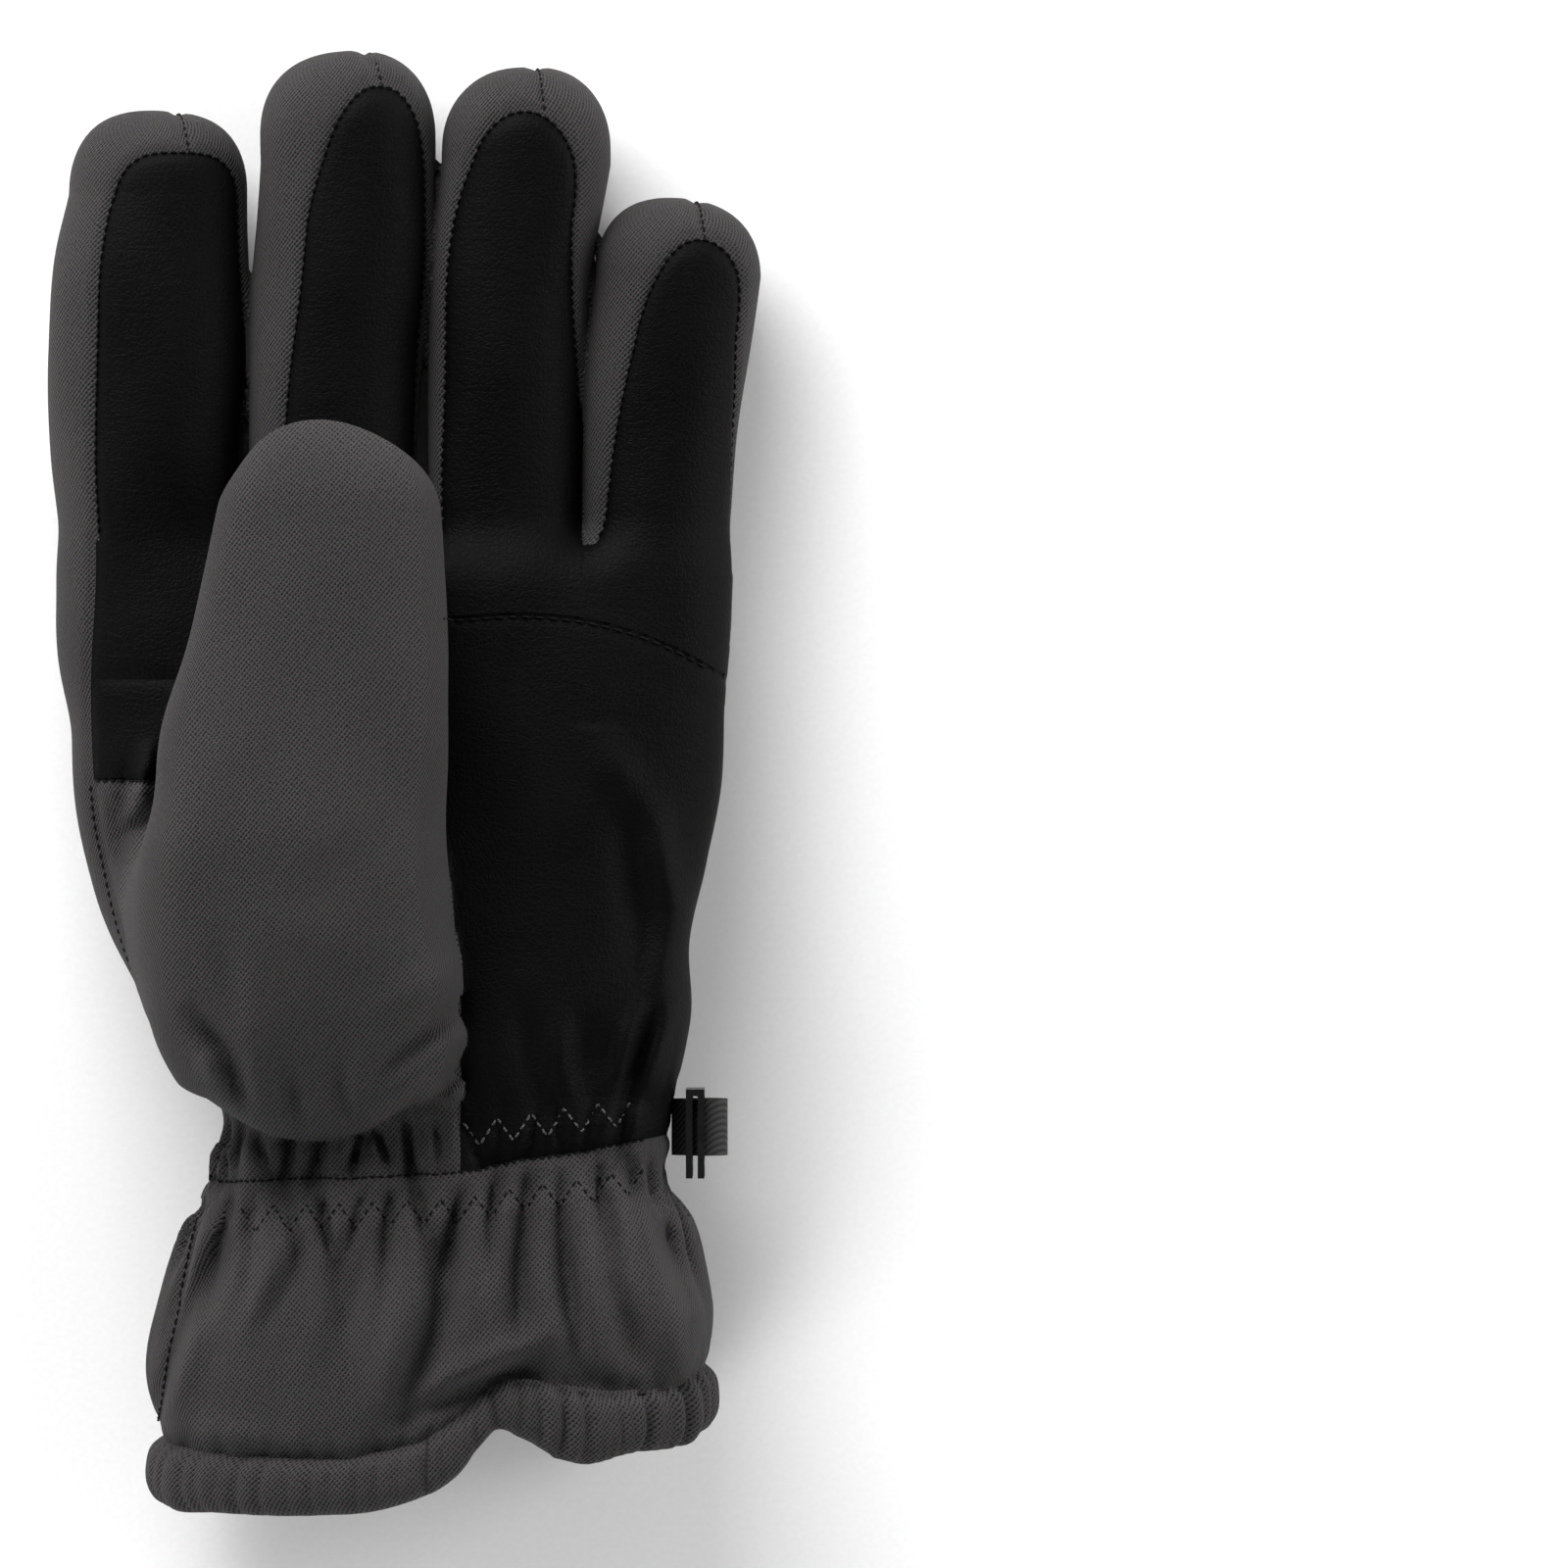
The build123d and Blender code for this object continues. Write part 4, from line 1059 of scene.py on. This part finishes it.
def finger_seam_path(name):
    """Round a finger's leather: up one side, over the arch and down the other. A ray comes in at each
    angle from outside the finger."""
    finger = FINGERS[name]
    start, top, power = finger["leather"][2:]
    up = np.linspace(189, start, 60)
    phi = np.linspace(0, np.pi, 90)[1:-1]
    u = -np.sign(np.cos(phi)) * np.abs(np.cos(phi)) ** (2 / power)
    s = np.concatenate([up, start + (top - start) * np.sin(phi) ** (2 / power), up[::-1]])
    mid, half = leather_sides(name, s)
    angle = np.radians(mid + half * np.concatenate([np.full(60, -1), u, np.full(60, 1)]))
    out = np.stack([np.sin(angle), 0 * angle, np.cos(angle)], 1)
    core = np.stack([along(s, finger["st"], finger["x"]), s - HALF_LENGTH,
                     along(s, finger["st"], finger["z"])], 1)
    return on_skin(core + RAY_START * out, -out, name)


def dart_path(name):
    """Over a fingertip, from the leather's arch to just past the tip, in rays to its dome's middle."""
    finger = FINGERS[name]
    top, tip, reach = finger["leather"][3], finger["tip"], tip_reach(finger)
    first = math.asin((top - tip + reach) / reach)
    angle = np.linspace(first + 0.04, np.radians(100), 40)
    out = np.stack([0 * angle, np.sin(angle), np.cos(angle)], 1)
    x = np.linspace(*finger["dart"], 40)
    core = np.stack([x, 0 * x + tip - reach - HALF_LENGTH, 0 * x + finger["z"][-1]], 1)
    return on_skin(core + RAY_START * out, -out, name)


for name in FINGERS:
    thread = thread_piece(f"{name}_thread", [finger_seam_path(name), dart_path(name)], black_thread)
    bend_with(thread, name)


SEAM_HEIGHT = 22.0        # about the height at which the hand's seams lie on it
OVERHEAD = 55.0           # rays from above start this far over it


def from_above(x, s, lean=0.0):
    """Where upright rays at x and a station meet the skin; lean tips them in from the index side."""
    down = np.stack([0 * s + lean, 0 * s, 0 * s - 1], 1)
    return on_skin(np.stack([x, s - HALF_LENGTH, 0 * s + SEAM_HEIGHT], 1) - OVERHEAD * down, down)


# the hand's seams: up the index finger's side, along the web of the thumb, across below the index
# finger's leather, and up the little finger's side
s_index = np.linspace(INDEX_CORNER + 3, 190, 60)
s_web = np.linspace(97, INDEX_CORNER, 70)
x_corner = np.linspace(-60, -47.5, 16)
s_side = np.linspace(88, 188, 110)
side_rays = np.stack([0 * s_side + 95, s_side - HALF_LENGTH, side_seam_z(s_side)], 1)
toward_hand = np.stack([0 * s_side - 1, 0 * s_side, 0 * s_side], 1)
hand_runs = [
    from_above(index_edge(s_index), s_index, 0.35),
    from_above(outer_seam(s_web), s_web, 0.1),
    from_above(x_corner, np.full_like(x_corner, INDEX_CORNER)),
    on_skin(side_rays, toward_hand),
]
hand_thread = thread_piece("hand_seam_thread", hand_runs, black_thread)
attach(hand_thread, "hand")

x_patch = np.linspace(8.8, 60, 60)
patch_thread = thread_piece("patch_thread", [from_above(x_patch, patch_seam(x_patch) - 0.9)], black_thread,
                            pitch=2.6, length=1.9, sink=0.1)
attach(patch_thread, "hand")
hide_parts("palm_patch_stitch")

x_wrist = np.linspace(-36, 48, 90)
wrist_thread = thread_piece("wrist_seam_thread", [from_above(x_wrist, wrist_seam(x_wrist))], black_thread)
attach(wrist_thread, "hand")

s_cuff = np.linspace(17, 57, 40)
cuff_thread = thread_piece("cuff_side_thread", [from_above(cuff_side_seam(s_cuff), s_cuff)],
                           black_thread)
bend_with(cuff_thread, "cuff")

# ---- The zigzag rows that hold the wrist's elastic -------------------------------------------------
# Two rows of zigzag stitching sew a flat elastic inside the wrist: a grey one across the leather and
# a black one across the cuff's fabric, three stitches to each leg.

ZIGZAG_HEIGHT = 4.8


def zigzag(first, peaks, line):
    """A zigzag's path on the skin: straight legs between points above and below a line."""
    x = first + np.arange(2 * peaks + 1) * ZIGZAG / 2
    s = line(x) + np.where(np.arange(len(x)) % 2, -0.5, 0.5) * ZIGZAG_HEIGHT
    fine = np.linspace(x[0], x[-1], 40 * len(x))
    return from_above(fine, np.interp(fine, x, s))


palm_row = zigzag(12.4, 5, lambda x: 73.6 + 0.13 * (x - 15))
palm_zigzag = thread_piece("palm_zigzag_thread", [palm_row], grey_thread,
                           pitch=2.0, length=1.5, radius=0.24, sink=0.04)
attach(palm_zigzag, "hand")
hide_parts("palm_zigzag_stitch")
cuff_row = zigzag(FIRST_STITCH + ZIGZAG / 2, 12, lambda x: wrist_seam(x) - CUFF_STITCH + 0.6)
cuff_zigzag = thread_piece("cuff_zigzag_thread", [cuff_row], black_thread,
                           pitch=2.0, length=1.6, sink=0.1)
bend_with(cuff_zigzag, "cuff")
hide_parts("wrist_zigzag_stitch")

# ---- The pairing loop and its clip -----------------------------------------------------------------
# A folded length of black webbing is sewn into the side seam at the wrist. The clip, two moulded
# acetal plates joined by a bridge, is threaded on it and holds the glove to its pair.


def polyester_webbing():
    """Black flat-woven polyester: slanted ribs 0.9 mm apart, dull, with paler worn yarns on top."""
    made, tree = new_material("black_polyester_webbing", "webbing")
    place = add(tree, "ShaderNodeTexCoord").outputs["Object"]
    turned = add(tree, "ShaderNodeMapping", {"Rotation": (0, math.radians(40), math.radians(45))},
                 {"Vector": place})
    rib = add(tree, "ShaderNodeTexWave", {"Scale": stripes(0.9 * MM), "Distortion": 0.6},
              {"Vector": turned.outputs[0]})
    yarn = add(tree, "ShaderNodeTexNoise", {"Scale": 1800.0, "Detail": 3}, {"Vector": place})
    tone = add(tree, "ShaderNodeMath", {1: 0.5}, {0: yarn.outputs["Fac"], 2: rib.outputs["Fac"]},
               operation="MULTIPLY_ADD")
    colour = ramp_between(tree, tone.outputs[0], 0.3, 1.3, "0a0a0a", "2b2a29")
    bump = add(tree, "ShaderNodeBump", {"Strength": 0.7, "Distance": 0.00025},
               {"Height": tone.outputs[0]})
    shader = add(tree, "ShaderNodeBsdfPrincipled", {"Roughness": 0.7, "Specular IOR Level": 0.3},
                 {"Base Color": colour, "Normal": bump.outputs[0]})
    add(tree, "ShaderNodeOutputMaterial", (), {"Surface": shader.outputs[0]})
    return made


def moulded_acetal():
    """Black injection-moulded acetal: smooth and fairly glossy, with a faint unevenness left by the
    mould and fine handling scratches."""
    made, tree = new_material("black_moulded_acetal", "clip_plastic")
    place = add(tree, "ShaderNodeTexCoord").outputs["Object"]
    flow = add(tree, "ShaderNodeTexNoise", {"Scale": 260.0, "Detail": 4}, {"Vector": place})
    drawn = add(tree, "ShaderNodeMapping", {"Scale": (1, 0.12, 1)}, {"Vector": place})
    scratch = add(tree, "ShaderNodeTexNoise", {"Scale": 2600.0, "Detail": 2}, {"Vector": drawn.outputs[0]})
    colour = ramp_between(tree, flow.outputs["Fac"], 0.3, 0.7, "0c0c0d", "161617")
    gloss = add(tree, "ShaderNodeMapRange", {"To Min": 0.2, "To Max": 0.42},
                {"Value": scratch.outputs["Fac"]})
    bump = add(tree, "ShaderNodeBump", {"Strength": 0.2, "Distance": 0.0001},
               {"Height": flow.outputs["Fac"]})
    shader = add(tree, "ShaderNodeBsdfPrincipled", {"Specular IOR Level": 0.5},
                 {"Base Color": colour, "Roughness": gloss.outputs[0], "Normal": bump.outputs[0]})
    add(tree, "ShaderNodeOutputMaterial", (), {"Surface": shader.outputs[0]})
    return made


for node, finish in (("webbing_loop", polyester_webbing()), ("pair_clip", moulded_acetal())):
    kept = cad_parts[node]
    kept.data.materials.clear()
    kept.data.materials.append(finish)

# ---- The studio ------------------------------------------------------------------------------------
# A pale floor under soft light: broad boxes beyond the fingertips and at both sides, in a room whose
# walls are bright and whose ceiling, behind the camera, is dim.


def pale_floor():
    mesh = bpy.data.meshes.new("floor")
    mesh.from_pydata([(-3, -3, 0), (3, -3, 0), (3, 3, 0), (-3, 3, 0)], [], [(0, 1, 2, 3)])
    made, tree = new_material("white_paper", "floor")
    place = add(tree, "ShaderNodeTexCoord").outputs["Object"]
    fibre = add(tree, "ShaderNodeTexNoise", {"Scale": 900.0, "Detail": 3}, {"Vector": place})
    colour = ramp_between(tree, fibre.outputs["Fac"], 0.3, 0.7, "f6f6f6", "fafafa")
    shader = add(tree, "ShaderNodeBsdfPrincipled", {"Roughness": 0.95, "Specular IOR Level": 0.1},
                 {"Base Color": colour})
    add(tree, "ShaderNodeOutputMaterial", (), {"Surface": shader.outputs[0]})
    mesh.materials.append(made)
    floor = bpy.data.objects.new("floor", mesh)
    bpy.context.collection.objects.link(floor)


def soft_box(name, place, size, power):
    """A lamp as large as a studio soft box, turned towards the glove."""
    data = bpy.data.lights.new(name, "AREA")
    data.shape, data.size, data.size_y, data.energy = "RECTANGLE", size[0], size[1], power
    lamp = bpy.data.objects.new(name, data)
    lamp.location = place
    lamp.rotation_euler = (-Vector(place)).to_track_quat("-Z", "Y").to_euler()
    bpy.context.collection.objects.link(lamp)


pale_floor()
soft_box("fingertip_box", (-0.45, 1.05, 0.65), (1.1, 0.8), 27.0)
soft_box("index_box", (-0.6, -0.9, 0.5), (0.6, 0.6), 5.5)
soft_box("little_box", (1.15, 0.25, 0.25), (0.4, 0.9), 11.0)

world = bpy.data.worlds.new("studio")
world.use_nodes = True
sky = world.node_tree
background = sky.nodes["Background"]
direction = add(sky, "ShaderNodeTexCoord").outputs["Generated"]
height = add(sky, "ShaderNodeSeparateXYZ", (), {"Vector": direction})
fade = add(sky, "ShaderNodeMapRange", {"From Min": 0.15, "From Max": 0.9, "To Min": 0.95, "To Max": 0.09},
           {"Value": height.outputs["Z"]})
sky.links.new(fade.outputs[0], background.inputs["Strength"])
background.inputs["Color"].default_value = srgb("ffffff")
bpy.context.scene.world = world
bpy.context.scene.view_settings.view_transform = "Standard"

# straight above, with the glove in the left half of the view
camera_data = bpy.data.cameras.new("camera")
camera_data.lens = 200
camera = bpy.data.objects.new("camera", camera_data)
camera.location = (0.0742, -0.0013, 1.72)
bpy.context.collection.objects.link(camera)
bpy.context.scene.camera = camera
